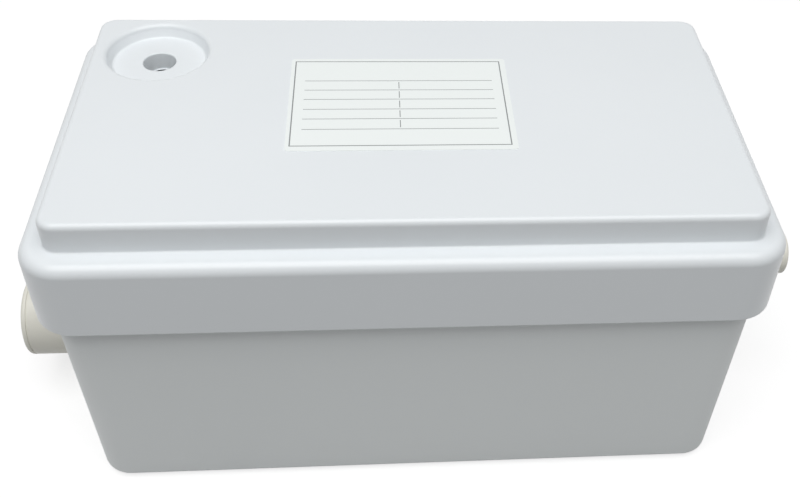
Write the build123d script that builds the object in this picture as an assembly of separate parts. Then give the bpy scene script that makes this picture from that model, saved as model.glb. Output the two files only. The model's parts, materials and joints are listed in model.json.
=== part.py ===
from build123d import *
import math
import os

# A small floor-standing lifting pump for waste water.
# A drafted tank holds the water, the pump and the valves. A deck plate closes it and carries
# the dry electrical parts. A lid with a raised plateau and a vent recess covers the lot.
# Millimetres. +X is the discharge side, +Y the back, +Z up.
# The origin is the middle of the footprint, on the floor.

# Overall
body_length = 292.6
body_depth = 162.6
pad_proud = 1.5
skirt_over_deck = 1.0
skirt_depth = 33.9
plateau_rise = 13.0
port_reach = 30.7

# Lid
lid_wall = 2.5
rim_corner = 17.0
rim_fillet = 4.6
rim_inner_fillet = 2.0
plateau_inset = 9.55
plateau_corner = 7.0
plateau_fillet = 2.4
lid_rib_thickness = 2.0
lid_rib_depth = 6.0
lid_rib_spacing = 90.0
label_length = 93.0
label_depth = 66.0
label_thickness = 0.2
label_corner = 1.5
label_shift_x = -3.6
label_shift_y = 4.2

# Vent in the lid and its filter
vent_margin_x = 28.25
vent_margin_y = 27.75
recess_radius = 20.6
recess_floor_radius = 19.5
recess_depth = 5.5
recess_round = 2.0
vent_hole_radius = 7.5
vent_spout_length = 8.0
vent_spout_wall = 3.0
filter_radius = 15.2
filter_height = 17.5
filter_gap = 0.3
filter_edge = 1.0
chimney_wall = 2.5
chimney_gap = 3.2
chimney_seat = 3.0

# Tank
tank_inset = 4.56
tank_draft = 3.07
tank_corner = 16.0
tank_wall = 3.0
tank_floor = 3.0
tank_foot_fillet = 3.0
rim_flange_height = 6.0
lid_side_gap = 0.6
lid_gasket_thickness = 2.8
ledge_thickness = 3.0
ledge_width = 8.0
ledge_corner_ease = 2.0
pad_radius = 9.0
pad_pocket = 1.0
pad_margin_x = 26.5
pad_margin_y = 23.5
pad_edge = 0.5

# Deck plate
deck_thickness = 3.0
deck_gasket_thickness = 1.5
deck_gap = 0.5
deck_screw_inset = 4.5
deck_screw_side = 38.0
deck_screw_long = 95.0
deck_boss_radius = 5.2
deck_boss_depth = 13.0
deck_boss_floor = 1.5
riser_root = 1.0

# Screws: shank radius, head radius, head height
small_shank = 1.5
small_head = 2.75
small_head_height = 2.0
large_shank = 2.0
large_head = 3.6
large_head_height = 2.6
tap_gap = 0.1
deck_screw_length = 12.0
screw_past = 1.0
screw_short = 0.5
head_round_share = 0.4
recess_wide_share = 1.3
recess_narrow_share = 0.3
recess_floor_share = 0.45

# Fits between neighbours of one body, and running gaps
press_gap = 0.02
pin_gap = 0.05
slip_gap = 0.3

# Inlet port, left
inlet_y = -3.4
inlet_z = 33.5
inlet_radius = 18.0
inlet_bore = 15.0
inlet_seat_bore = 12.0
inlet_neck_length = 25.0
inlet_flange_radius = 24.0
inlet_flange_thickness = 3.8
inlet_lip_round = 1.3
inlet_groove_depth = 0.35
inlet_groove_width = 0.6
inlet_groove_back = 2.2
inlet_seal_thickness = 2.0
inlet_nut_thickness = 7.0
inlet_nut_radius = 24.5
inlet_flap_radius = 14.3
inlet_flap_thickness = 1.8
inlet_pin_rise = 15.7
inlet_pin_radius = 0.8
inlet_ear_thickness = 2.0
inlet_hub_radius = 1.6
inlet_hub_half = 2.6
port_pad_proud = 1.5
port_pad_edge = 1.0
seal_inset = 0.5
nut_grip_depth = 2.0
nut_lug_radius = 2.5
inlet_nut_lugs = 8
outlet_nut_lugs = 6
inlet_seat_length = 3.0
ear_root = 1.0
ear_past_pin = 1.2
ear_flap_gap = 0.1
ear_over_pin = 1.5
flap_shoulder_rise = 0.4

# Outlet port, right
outlet_y = -6.8
outlet_z = 69.3
outlet_radius = 10.2
outlet_bore = 7.8
outlet_neck_radius = 10.0
outlet_flange_radius = 15.0
outlet_flange_thickness = 3.5
outlet_lip_round = 1.0
outlet_seal_thickness = 1.5
outlet_nut_thickness = 6.5
outlet_nut_radius = 15.5

# Discharge valve
valve_wall = 3.0
valve_chamber_radius = 14.0
valve_floor = 4.0
valve_drop = 13.3
valve_rise = 14.7
valve_cap_thickness = 4.0
valve_cap_plug = 3.0
valve_socket_wall = 3.0
valve_socket_depth = 4.4
valve_spigot_length = 12.0
valve_nut_gap = 2.2
check_flap_radius = 9.5
check_flap_thickness = 2.0
check_pin_offset = 11.3
check_pin_rise = 3.0
check_pin_radius = 0.8
check_hub_radius = 1.9
check_hub_half = 2.3
check_seat_gap = 0.2
valve_hex_radius = 6.0
valve_hex_height = 3.0
hose_valve_gap = 1.0

# Pump
impeller_radius = 27.0
impeller_plate = 3.0
impeller_height = 12.0
impeller_hub_radius = 9.0
impeller_floor_gap = 1.5
vane_count = 6
vane_thickness = 2.4
vane_curve_radius = 16.0
vane_curve_offset = 14.0
cutwater_gap = 1.5
volute_growth = 13.0
volute_wall = 3.0
volute_chamber_height = 16.0
volute_roof = 4.0
pump_flange_radius = 50.0
pump_flange_thickness = 4.0
pump_screw_radius = 47.0
pump_screw_count = 6
suction_plate = 3.0
suction_eye_radius = 14.0
suction_lip = 2.0
nozzle_bore = 6.5
nozzle_wall = 2.5
nozzle_reach = 58.0
isolator_radius = 6.0
isolator_height = 7.5
isolator_circle = 38.0
hose_wall = 2.5
hose_slip = 0.1
hose_bend = 16.0
hose_overlap = 12.0
clamp_width = 7.0
clamp_thickness = 1.2
clamp_from_end = 2.0
clamp_housing_width = 9.0
clamp_housing_height = 5.0
suction_lip_wall = 2.5

# Motor
motor_to_valve = 78.0
motor_wall_gap = 1.0
motor_can_radius = 45.1
motor_can_wall = 3.0
motor_can_length = 67.0
motor_floor = 4.0
motor_flange_thickness = 3.0
motor_gasket_thickness = 1.5
motor_screw_from_can = 4.9
motor_screw_edge = 4.0
motor_screw_count = 6
motor_cap_height = 16.0
motor_cap_inset = 1.1
motor_cap_wall = 3.0
can_step = 1.0
stator_shelf_margin = 3.0
bearing_seat_bite = 1.0
bearing_seat_wall = 2.5
shaft_end_room = 2.0
lead_hole_past = 1.0
thread_step = 1.0
volute_screw_radius = 34.0
volute_screw_count = 4
shaft_radius = 6.0
shaft_tail_radius = 5.0
shaft_drive_radius = 4.0
rotor_radius = 22.0
rotor_length = 40.0
rotor_ring_height = 4.0
rotor_ring_radius = 18.0
air_gap = 0.4
stator_lift = 18.0
slot_count = 12
slot_width = 6.0
slot_inner = 25.0
slot_outer = 36.0
winding_height = 7.0
winding_gap = 0.2
slot_corner = 1.5
winding_leg_past = 1.0
coil_over_slot = 1.5
coil_inside_slot = 0.5
coil_round = 2.0
bearing_width = 8.0
bearing_drop = 3.0
shaft_past_bearing = 2.0
shaft_past_nut = 0.5
lower_bearing_radius = 14.0
upper_bearing_radius = 13.0
race_thickness = 2.5
shield_thickness = 0.8
seal_radius = 12.0
seal_ring_radius = 10.0
seal_bore_gap = 0.5
seal_face_gap = 0.1
nut_flats = 8.0
nut_height = 3.5

# Dry-side parts on the deck
capacitor_radius = 14.0
capacitor_length = 44.0
capacitor_gap = 1.5
capacitor_from_motor_y = 16.0
clip_thickness = 1.3
clip_width = 14.0
clip_foot_reach = 23.5
tab_length = 6.0
tab_thickness = 0.8
tab_width = 5.0
tab_root = 1.0
capacitor_round = 1.5
clip_screw_inset = 4.0
terminal_length = 38.0
terminal_width = 20.0
terminal_height = 13.0
terminal_count = 5
terminal_screw_inset = 3.5
terminal_tower_inset = 6.5
terminal_base = 3.0
terminal_edge = 1.0
terminal_end_wall = 5.0
grub_radius = 1.8
grub_height = 3.0
grub_sunk = 2.0
terminal_well_rise = 5.5
terminal_margin_x = 25.0
terminal_margin_y = 43.2
cord_from_motor = 54.25
cord_rise = 11.5
cord_bore = 4.0
cord_grip = 3.4
grommet_barrel = 6.5
grommet_barrel_corner = 1.5
grommet_flange = 9.2
grommet_flange_corner = 3.0
grommet_flange_thickness = 1.6
grommet_recess = 0.2
grommet_round = 1.2
notch_gap = 0.6
clamp_from_back = 11.0
clamp_bar_length = 25.0
clamp_bar_depth = 8.0
clamp_bar_height = 5.0
clamp_bar_gap = 0.4
clamp_bar_corner = 1.5
clamp_screw_inset = 4.0
clamp_screw_bite = 8.0

# Level switch
switch_margin_x = 76.0
switch_margin_y = 37.0
bell_radius = 16.0
bell_wall = 2.5
bell_foot_rise = 20.5
bell_flange_radius = 26.0
bell_flange_thickness = 3.0
chamber_radius = 20.0
chamber_roof = 2.5
diaphragm_radius = 19.5
diaphragm_thickness = 1.2
diaphragm_lift = 1.0
diaphragm_travel = 2.5
rod_radius = 3.0
rod_tip_radius = 1.1
rod_tip_length = 2.0
rod_rise = 4.0
rod_plate_radius = 9.0
rod_plate_thickness = 1.2
chamber_gap = 0.6
switch_cap_round = 1.2
bead_height = 0.5
bead_width = 2.0
switch_screw_circle = 23.0
lever_reach = 18.0
lever_thickness = 0.6
lever_width = 6.0
lever_tail = 3.0
lever_hub_radius = 1.4
lever_pin_radius = 0.7
lever_lug = 1.6
lug_half = 2.0
lug_root = 1.0
button_reach = 8.0
button_radius = 1.5
button_proud = 3.2
button_socket = 4.0
button_top_gap = 1.5
button_round = 0.5
microswitch_length = 28.0
microswitch_height = 16.0
microswitch_before_pin = 4.0
microswitch_hole_side = 9.0
microswitch_hole_drop = 4.0
bracket_thickness = 1.5
bracket_foot = 15.0
bracket_width = 24.0
bracket_edge = 3.0
bracket_foot_screw_side = 7.0
bracket_foot_screw_reach = 9.0
lead_radius = 1.6
lead_pitch = 6.0
lead_stub = 10.0
lead_gap = 5.0
lead_over_deck = 2.6
lead_in_block = 3.0
lead_bend_share = 0.45

BASE = (Align.CENTER, Align.CENTER, Align.MIN)

# Derived: heights, from the tank's floor up through the pump and the motor
tank_floor_top = pad_proud + tank_floor
suction_low = tank_floor_top + isolator_height
volute_low = suction_low + suction_plate
chamber_top = volute_low + volute_chamber_height
motor_low = chamber_top + volute_roof
motor_flange_low = motor_low + motor_can_length
motor_flange_top = motor_flange_low + motor_flange_thickness
deck_top = motor_flange_low - motor_gasket_thickness
deck_low = deck_top - deck_thickness
ledge_height = deck_low - deck_gasket_thickness
skirt_foot = deck_top + skirt_over_deck
shelf_height = skirt_foot + skirt_depth
shelf_under = shelf_height - lid_wall
top_height = shelf_height + plateau_rise
roof_under = top_height - lid_wall

# Derived: shells
half_x = body_length / 2
half_y = body_depth / 2
plateau_half_x = half_x - plateau_inset
plateau_half_y = half_y - plateau_inset
tank_half_x = half_x - tank_inset
tank_half_y = half_y - tank_inset
rim_top = shelf_under - lid_gasket_thickness
vent_x = -(plateau_half_x - vent_margin_x)
vent_y = plateau_half_y - vent_margin_y
recess_floor = top_height - recess_depth
spout_low = recess_floor - vent_spout_length
chimney_top = spout_low - chimney_gap

# Derived: deck
deck_half_x = tank_half_x - tank_wall - deck_gap
deck_half_y = tank_half_y - tank_wall - deck_gap

# Derived: pump nozzle
nozzle_radius = nozzle_bore + nozzle_wall
nozzle_z = volute_low + nozzle_radius
nozzle_lateral = impeller_radius + cutwater_gap + volute_growth / 2

# Derived: ports and valve
hose_inner = nozzle_radius + hose_slip
hose_outer = hose_inner + hose_wall
valve_radius = valve_chamber_radius + valve_wall
valve_low = outlet_z - valve_drop
valve_seat = valve_low + valve_floor
valve_top = outlet_z + valve_rise


def draft_at(height):
    """How far the tank's wall stands out of its foot at a height."""
    share = (height - pad_proud) / (skirt_foot - pad_proud)
    return tank_draft * min(share, 1.0)


def tank_outside(height):
    """Half length, half depth and corner radius of the tank's outside at a height."""
    inset = tank_draft - draft_at(height)
    return tank_half_x - inset, tank_half_y - inset, tank_corner - inset


inlet_pad_out = -(tank_outside(inlet_z)[0] + port_pad_proud)
inlet_pad_in = -(tank_outside(inlet_z)[0] - tank_wall - port_pad_proud)
inlet_flange_in = inlet_pad_out - inlet_seal_thickness
inlet_flange_out = inlet_flange_in - inlet_flange_thickness
inlet_tip = -(half_x + port_reach)
inlet_end = inlet_flange_in + inlet_neck_length
inlet_pin_x = inlet_end + slip_gap + inlet_flap_thickness / 2

outlet_pad_out = tank_outside(outlet_z)[0] + port_pad_proud
outlet_pad_in = tank_outside(outlet_z)[0] - tank_wall - port_pad_proud
outlet_flange_in = outlet_pad_out + outlet_seal_thickness
outlet_flange_out = outlet_flange_in + outlet_flange_thickness
outlet_tip = half_x + port_reach
socket_end = outlet_pad_in - outlet_nut_thickness - slip_gap
valve_x = socket_end - valve_radius - valve_nut_gap
outlet_end = socket_end - valve_socket_depth

motor_screw_radius = motor_can_radius + motor_screw_from_can
motor_flange_radius = motor_screw_radius + motor_screw_edge
motor_x = valve_x - motor_to_valve
motor_y = deck_half_y - motor_flange_radius - motor_wall_gap
valve_distance = math.hypot(valve_x - motor_x, outlet_y - motor_y)
nozzle_turn = math.asin(nozzle_lateral / valve_distance) - math.atan2(motor_y - outlet_y, valve_x - motor_x)
nozzle_run = math.sqrt(valve_distance ** 2 - nozzle_lateral ** 2)

# Derived: bearings, rotor and stator
stator_low = motor_low + motor_floor + stator_lift
stator_top = stator_low + rotor_length
lower_bearing_low = motor_low + motor_floor
cap_roof_under = motor_flange_top + motor_cap_height
upper_bearing_low = cap_roof_under - bearing_width - bearing_drop
impeller_low = volute_low + impeller_floor_gap
impeller_top = impeller_low + impeller_height
shaft_low = impeller_low - nut_height - shaft_past_nut
shaft_top = upper_bearing_low + bearing_width + shaft_past_bearing

# Derived: cord entry
cord_x = motor_x - cord_from_motor
cord_z = deck_top + cord_rise

# Derived: level switch
switch_x = -(deck_half_x - switch_margin_x)
switch_y = -(deck_half_y - switch_margin_y)
bell_top = deck_top + bell_flange_thickness
chamber_height = diaphragm_lift + diaphragm_thickness + rod_plate_thickness + diaphragm_travel + chamber_gap
chamber_top_z = bell_top + chamber_height
switch_cap_top = chamber_top_z + chamber_roof
diaphragm_low = bell_top + diaphragm_lift
rod_top = switch_cap_top + rod_rise
lever_low = rod_top + slip_gap
lever_z = lever_low + lever_thickness / 2
lever_pin_x = switch_x - lever_reach
button_x = lever_pin_x + button_reach
button_low = lever_low + lever_thickness + slip_gap
microswitch_low = button_low + button_proud
microswitch_x_low = lever_pin_x - microswitch_before_pin
lug_outer = lever_width / 2 + 2 * slip_gap + lever_lug


def upright(x, y, low, high, outer, bore=0.0):
    """Round bar or tube standing between two heights."""
    face = Circle(outer)
    if bore:
        face -= Circle(bore)
    return extrude(Pos(x, y, low) * face, high - low)


def lengthwise(start, end, y, z, outer, bore=0.0):
    """Round bar or tube lying along X."""
    face = Circle(outer)
    if bore:
        face -= Circle(bore)
    plane = Plane(origin=(start, y, z), x_dir=(0, 1, 0), z_dir=(1, 0, 0))
    return extrude(plane * face, end - start)


def crosswise(x, start, end, z, outer, bore=0.0):
    """Round bar or tube lying along Y."""
    face = Circle(outer)
    if bore:
        face -= Circle(bore)
    plane = Plane(origin=(x, start, z), x_dir=(1, 0, 0), z_dir=(0, 1, 0))
    return extrude(plane * face, end - start)


def crosswise_square(x, start, end, z, half, corner):
    """Square bar with rounded edges lying along Y."""
    plane = Plane(origin=(x, start, z), x_dir=(1, 0, 0), z_dir=(0, 1, 0))
    return extrude(plane * RectangleRounded(2 * half, 2 * half, corner), end - start)


def block(x_range, y_range, z_range):
    """Box between two corners, given as a low and a high value for each axis."""
    middle = [sum(pair) / 2 for pair in (x_range, y_range, z_range)]
    sides = [pair[1] - pair[0] for pair in (x_range, y_range, z_range)]
    return Pos(*middle) * Box(*sides)


def slab(length_half, depth_half, corner, low, high):
    """Plate with rounded corners, centred on the origin's axis."""
    outline = RectangleRounded(2 * length_half, 2 * depth_half, corner)
    return extrude(Pos(0, 0, low) * outline, high - low)


def drafted(low, high, inset):
    """The tank's drafted outside between two heights, drawn in by an inset."""
    sections = []
    for height in (low, high):
        length_half, depth_half, corner = tank_outside(height)
        outline = RectangleRounded(2 * (length_half - inset), 2 * (depth_half - inset), corner - inset)
        sections.append(Pos(0, 0, height) * outline)
    return loft(sections, ruled=True)


def screw(shank, length, head, head_height):
    """Pan-head screw with a cross recess, its seat at the origin and its shank down."""
    dome = Cylinder(head, head_height, align=BASE)
    dome = fillet(dome.edges().group_by(Axis.Z)[-1], head_round_share * head_height)
    stem = upright(0, 0, -length, 0, shank)
    wide = recess_wide_share * head
    narrow = recess_narrow_share * head
    recess_low = recess_floor_share * head_height
    cross = block((-wide / 2, wide / 2), (-narrow / 2, narrow / 2), (recess_low, head_height))
    cross += block((-narrow / 2, narrow / 2), (-wide / 2, wide / 2), (recess_low, head_height))
    return dome + stem - cross


def small_screw(length):
    return screw(small_shank, length, small_head, small_head_height)


def large_screw(length):
    return screw(large_shank, length, large_head, large_head_height)


def circle_points(x, y, radius, count, start=0.0):
    """Evenly spaced points on a circle."""
    step = 2 * math.pi / count
    angles = [math.radians(start) + step * index for index in range(count)]
    return [(x + radius * math.cos(angle), y + radius * math.sin(angle)) for angle in angles]


def group(shapes):
    """Separate solids kept side by side in one node."""
    return Compound([solid for shape in shapes for solid in shape.solids()])


deck_screw_points = [(sx * (deck_half_x + deck_gap - deck_screw_inset), sy * deck_screw_side)
                     for sx in (-1, 1) for sy in (-1, 1)]
deck_screw_points += [(sx * deck_screw_long, sy * (deck_half_y + deck_gap - deck_screw_inset))
                      for sx in (-1, 1) for sy in (-1, 1)]
motor_screw_points = circle_points(motor_x, motor_y, motor_screw_radius, motor_screw_count)
pump_screw_points = circle_points(motor_x, motor_y, pump_screw_radius, pump_screw_count)
volute_screw_points = circle_points(motor_x, motor_y, volute_screw_radius, volute_screw_count, 45.0)
bell_screw_points = circle_points(switch_x, switch_y, switch_screw_circle, 4, 45.0)
pad_points = [(sx * (half_x - tank_inset - pad_margin_x), sy * (half_y - tank_inset - pad_margin_y))
              for sx in (-1, 1) for sy in (-1, 1)]


# Lid, its label and its gasket

def make_lid():
    rim = slab(half_x, half_y, rim_corner, skirt_foot, shelf_height)
    rim = fillet(rim.edges().group_by(Axis.Z)[-1], rim_fillet)
    plateau = slab(plateau_half_x, plateau_half_y, plateau_corner, shelf_under, top_height)
    plateau = fillet(plateau.edges().group_by(Axis.Z)[-1], plateau_fillet)
    skirt_hollow = slab(half_x - lid_wall, half_y - lid_wall, rim_corner - lid_wall, skirt_foot, shelf_under)
    skirt_hollow = fillet(skirt_hollow.edges().group_by(Axis.Z)[-1], rim_inner_fillet)
    plateau_hollow = slab(plateau_half_x - lid_wall, plateau_half_y - lid_wall,
                          plateau_corner - lid_wall, shelf_under - lid_wall, roof_under)
    lid = rim + plateau - skirt_hollow - plateau_hollow
    for side in (-1, 1):
        middle = side * lid_rib_spacing / 2
        lid += block((middle - lid_rib_thickness / 2, middle + lid_rib_thickness / 2),
                     (-plateau_half_y + lid_wall / 2, plateau_half_y - lid_wall / 2),
                     (roof_under - lid_rib_depth, roof_under + lid_wall / 2))
    lid += upright(vent_x, vent_y, recess_floor - lid_wall, roof_under + lid_wall / 2, recess_radius + lid_wall)
    lid += upright(vent_x, vent_y, spout_low, recess_floor, vent_hole_radius + vent_spout_wall)
    lid -= Pos(vent_x, vent_y, recess_floor) * Cone(recess_floor_radius, recess_radius, recess_depth, align=BASE)
    mouth = [edge for edge in lid.edges().filter_by(GeomType.CIRCLE)
             if abs(edge.radius - recess_radius) < 0.01 and edge.center().Z > top_height - 0.01]
    lid = fillet(mouth, recess_round)
    lid -= upright(vent_x, vent_y, spout_low, top_height, vent_hole_radius)
    notch_half = grommet_barrel + notch_gap
    lid -= block((cord_x - notch_half, cord_x + notch_half), (half_y - 2 * lid_wall, half_y + lid_wall),
                 (skirt_foot, cord_z + notch_half))
    return lid


def make_rating_label():
    outline = RectangleRounded(label_length, label_depth, label_corner)
    return extrude(Pos(label_shift_x, label_shift_y, top_height) * outline, label_thickness)


def make_lid_gasket():
    edge = lid_wall + rim_inner_fillet + slip_gap
    outer = slab(half_x - edge, half_y - edge, rim_corner - edge, rim_top, shelf_under)
    inner = slab(tank_half_x - tank_wall, tank_half_y - tank_wall, tank_corner - tank_wall, rim_top, shelf_under)
    return outer - inner


# Tank and its feet

def make_tank():
    shell = drafted(pad_proud, skirt_foot, 0.0)
    shell = fillet(shell.edges().group_by(Axis.Z)[0], tank_foot_fillet)
    shell += slab(tank_half_x, tank_half_y, tank_corner, skirt_foot, rim_top)
    flange_edge = lid_wall + lid_side_gap
    shell += slab(half_x - flange_edge, half_y - flange_edge, rim_corner - flange_edge,
                  rim_top - rim_flange_height, rim_top)
    shell += lengthwise(inlet_pad_out, inlet_pad_in, inlet_y, inlet_z, inlet_flange_radius + port_pad_edge)
    shell += lengthwise(outlet_pad_in, outlet_pad_out, outlet_y, outlet_z, outlet_nut_radius + port_pad_edge)
    cavity = drafted(tank_floor_top, skirt_foot, tank_wall)
    cavity += slab(tank_half_x - tank_wall, tank_half_y - tank_wall, tank_corner - tank_wall, skirt_foot, rim_top)
    pads = lengthwise(inlet_pad_out, inlet_pad_in, inlet_y, inlet_z, inlet_flange_radius + port_pad_edge)
    pads += lengthwise(outlet_pad_in, outlet_pad_out, outlet_y, outlet_z, outlet_nut_radius + port_pad_edge)
    tank = shell - (cavity - pads)
    ledge_out_x, ledge_out_y, ledge_corner = tank_outside(ledge_height)
    backing = tank_wall / 2
    ledge = slab(ledge_out_x - backing, ledge_out_y - backing, ledge_corner - backing,
                 ledge_height - ledge_thickness, ledge_height)
    ledge -= slab(deck_half_x + deck_gap - ledge_width, deck_half_y + deck_gap - ledge_width,
                  tank_corner - tank_wall - ledge_width + ledge_corner_ease, ledge_height - ledge_thickness, ledge_height)
    tank += ledge
    for x, y in deck_screw_points:
        tank += upright(x, y, ledge_height - deck_boss_depth, ledge_height, deck_boss_radius)
    for x, y in deck_screw_points:
        tank -= upright(x, y, ledge_height - deck_boss_depth + deck_boss_floor, ledge_height, small_shank + tap_gap)
    tank -= lengthwise(inlet_pad_out, inlet_pad_in, inlet_y, inlet_z, inlet_radius + slip_gap)
    tank -= lengthwise(outlet_pad_in, outlet_pad_out, outlet_y, outlet_z, outlet_neck_radius + slip_gap)
    tank -= crosswise_square(cord_x, tank_half_y - 2 * tank_wall, tank_half_y + tank_wall, cord_z,
                             grommet_barrel + press_gap, grommet_barrel_corner)
    for x, y in pad_points:
        tank -= upright(x, y, pad_proud, pad_proud + pad_pocket, pad_radius + press_gap)
    return tank


def make_foot_pads():
    pads = []
    for x, y in pad_points:
        pad = upright(x, y, 0, pad_proud + pad_pocket, pad_radius)
        pads.append(chamfer(pad.edges().group_by(Axis.Z)[0], pad_edge))
    return group(pads)


# Inlet: spigot, seal, nut and back-flow flap

def make_inlet_spigot():
    spigot = lengthwise(inlet_tip, inlet_end, inlet_y, inlet_z, inlet_radius)
    spigot = fillet(spigot.edges().group_by(Axis.X)[0], inlet_lip_round)
    spigot += lengthwise(inlet_flange_out, inlet_flange_in, inlet_y, inlet_z, inlet_flange_radius)
    groove_start = inlet_tip + inlet_groove_back
    spigot -= lengthwise(groove_start, groove_start + inlet_groove_width, inlet_y, inlet_z,
                         inlet_radius + inlet_groove_width, inlet_radius - inlet_groove_depth)
    seat_start = inlet_end - inlet_seat_length
    spigot -= lengthwise(inlet_tip, seat_start, inlet_y, inlet_z, inlet_bore)
    spigot -= lengthwise(seat_start, inlet_end, inlet_y, inlet_z, inlet_seat_bore)
    ear_gap = inlet_hub_half + slip_gap
    ear_reach = inlet_pin_x + ear_past_pin
    for side in (-1, 1):
        near = inlet_y + side * ear_gap
        far = inlet_y + side * (ear_gap + inlet_ear_thickness)
        spigot += block((inlet_end - ear_root, ear_reach), (min(near, far), max(near, far)),
                        (inlet_z + inlet_flap_radius + ear_flap_gap, inlet_z + inlet_pin_rise + ear_over_pin))
    spigot -= crosswise(inlet_pin_x, inlet_y - 2 * ear_gap, inlet_y + 2 * ear_gap,
                        inlet_z + inlet_pin_rise, inlet_pin_radius + press_gap)
    spigot -= crosswise(inlet_pin_x, inlet_y - ear_gap, inlet_y + ear_gap,
                        inlet_z + inlet_pin_rise, inlet_hub_radius + slip_gap)
    return spigot


def make_inlet_seal():
    return lengthwise(inlet_flange_in, inlet_pad_out, inlet_y, inlet_z,
                      inlet_flange_radius - seal_inset, inlet_radius + slip_gap)


def ring_nut(start, end, y, z, bore, outer, lugs):
    """Round backnut along X with grip lugs round it."""
    nut = lengthwise(start, end, y, z, outer - nut_grip_depth, bore)
    for lug_y, lug_z in circle_points(y, z, outer - nut_lug_radius, lugs):
        nut += lengthwise(start, end, lug_y, lug_z, nut_lug_radius)
    return nut


def make_inlet_nut():
    return ring_nut(inlet_pad_in, inlet_pad_in + inlet_nut_thickness, inlet_y, inlet_z,
                    inlet_radius + tap_gap, inlet_nut_radius, inlet_nut_lugs)


def make_inlet_flap():
    start = inlet_end + slip_gap
    end = start + inlet_flap_thickness
    disc = lengthwise(start, end, inlet_y, inlet_z, inlet_flap_radius)
    shoulder = inlet_z + inlet_seat_bore + flap_shoulder_rise
    disc -= block((start, end), (inlet_y - inlet_radius, inlet_y + inlet_radius), (shoulder, inlet_z + inlet_radius))
    pin_z = inlet_z + inlet_pin_rise
    arm = block((start, end), (inlet_y - inlet_hub_half, inlet_y + inlet_hub_half), (inlet_z, pin_z))
    hub = crosswise(inlet_pin_x, inlet_y - inlet_hub_half, inlet_y + inlet_hub_half, pin_z, inlet_hub_radius)
    bore = crosswise(inlet_pin_x, inlet_y - inlet_hub_half, inlet_y + inlet_hub_half, pin_z,
                     inlet_pin_radius + pin_gap)
    hub_keep = block((start, end + inlet_hub_radius), (inlet_y - inlet_radius, inlet_y + inlet_radius),
                     (inlet_z, pin_z + inlet_radius))
    return disc + arm + (hub & hub_keep) - bore


# Outlet: spigot, seal, nut and check valve

def make_outlet_spigot():
    spigot = lengthwise(outlet_flange_out, outlet_tip, outlet_y, outlet_z, outlet_radius)
    spigot = fillet(spigot.edges().group_by(Axis.X)[-1], outlet_lip_round)
    spigot += lengthwise(outlet_flange_in, outlet_flange_out, outlet_y, outlet_z, outlet_flange_radius)
    spigot += lengthwise(outlet_end, outlet_flange_in, outlet_y, outlet_z, outlet_neck_radius)
    spigot -= lengthwise(outlet_end, outlet_tip, outlet_y, outlet_z, outlet_bore)
    return spigot


def make_outlet_seal():
    return lengthwise(outlet_pad_out, outlet_flange_in, outlet_y, outlet_z,
                      outlet_flange_radius - seal_inset, outlet_neck_radius + slip_gap)


def make_outlet_nut():
    return ring_nut(outlet_pad_in - outlet_nut_thickness, outlet_pad_in, outlet_y, outlet_z,
                    outlet_neck_radius + tap_gap, outlet_nut_radius, outlet_nut_lugs)


check_pin_x = valve_x - check_pin_offset
check_pin_z = valve_seat + check_pin_rise


def make_valve_body():
    body = upright(valve_x, outlet_y, valve_low, valve_top, valve_radius)
    body += upright(valve_x, outlet_y, valve_low - valve_spigot_length, valve_low, nozzle_radius)
    socket_radius = outlet_neck_radius + valve_socket_wall
    body += lengthwise(valve_x, socket_end, outlet_y, outlet_z, socket_radius)
    body -= upright(valve_x, outlet_y, valve_seat, valve_top, valve_chamber_radius)
    body -= upright(valve_x, outlet_y, valve_low - valve_spigot_length, valve_seat, nozzle_bore)
    body -= lengthwise(valve_x, outlet_end, outlet_y, outlet_z, outlet_bore)
    body -= lengthwise(outlet_end, socket_end, outlet_y, outlet_z, outlet_neck_radius + press_gap)
    body -= crosswise(check_pin_x, outlet_y - valve_radius, outlet_y + valve_radius, check_pin_z,
                      check_pin_radius + press_gap)
    return body


def make_valve_cap():
    cap = upright(valve_x, outlet_y, valve_top, valve_top + valve_cap_thickness, valve_radius)
    cap += upright(valve_x, outlet_y, valve_top - valve_cap_plug, valve_top, valve_chamber_radius - press_gap)
    cap -= upright(valve_x, outlet_y, valve_top - valve_cap_plug, valve_top, valve_chamber_radius - valve_wall)
    hex_face = Pos(valve_x, outlet_y, valve_top + valve_cap_thickness) * RegularPolygon(valve_hex_radius, 6)
    return cap + extrude(hex_face, valve_hex_height)


def make_check_flap():
    low = valve_seat + check_seat_gap
    high = low + check_flap_thickness
    disc = upright(valve_x, outlet_y, low, high, check_flap_radius)
    arm = block((check_pin_x, valve_x - check_flap_radius / 2),
                (outlet_y - check_hub_half, outlet_y + check_hub_half), (check_pin_z - check_hub_radius, check_pin_z))
    hub = crosswise(check_pin_x, outlet_y - check_hub_half, outlet_y + check_hub_half, check_pin_z, check_hub_radius)
    bore = crosswise(check_pin_x, outlet_y - check_hub_half, outlet_y + check_hub_half, check_pin_z,
                     check_pin_radius + pin_gap)
    return disc + arm + hub - bore


def make_flap_pins():
    inlet_half = inlet_hub_half + slip_gap + inlet_ear_thickness
    check_half = math.sqrt(valve_radius ** 2 - check_pin_offset ** 2) - valve_wall / 2
    return group([
        crosswise(inlet_pin_x, inlet_y - inlet_half, inlet_y + inlet_half, inlet_z + inlet_pin_rise, inlet_pin_radius),
        crosswise(check_pin_x, outlet_y - check_half, outlet_y + check_half, check_pin_z, check_pin_radius),
    ])


# Discharge hose: from the pump's nozzle round one bend and up to the valve

nozzle_forward = (math.cos(nozzle_turn), math.sin(nozzle_turn), 0.0)
nozzle_side = (math.sin(nozzle_turn), -math.cos(nozzle_turn), 0.0)
hose_start_run = nozzle_reach - hose_overlap
hose_top = valve_low - hose_valve_gap


def along_nozzle(run):
    """Point on the nozzle's axis at a run from the foot of the motor axis."""
    return (motor_x + nozzle_lateral * nozzle_side[0] + run * nozzle_forward[0],
            motor_y + nozzle_lateral * nozzle_side[1] + run * nozzle_forward[1], nozzle_z)


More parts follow.
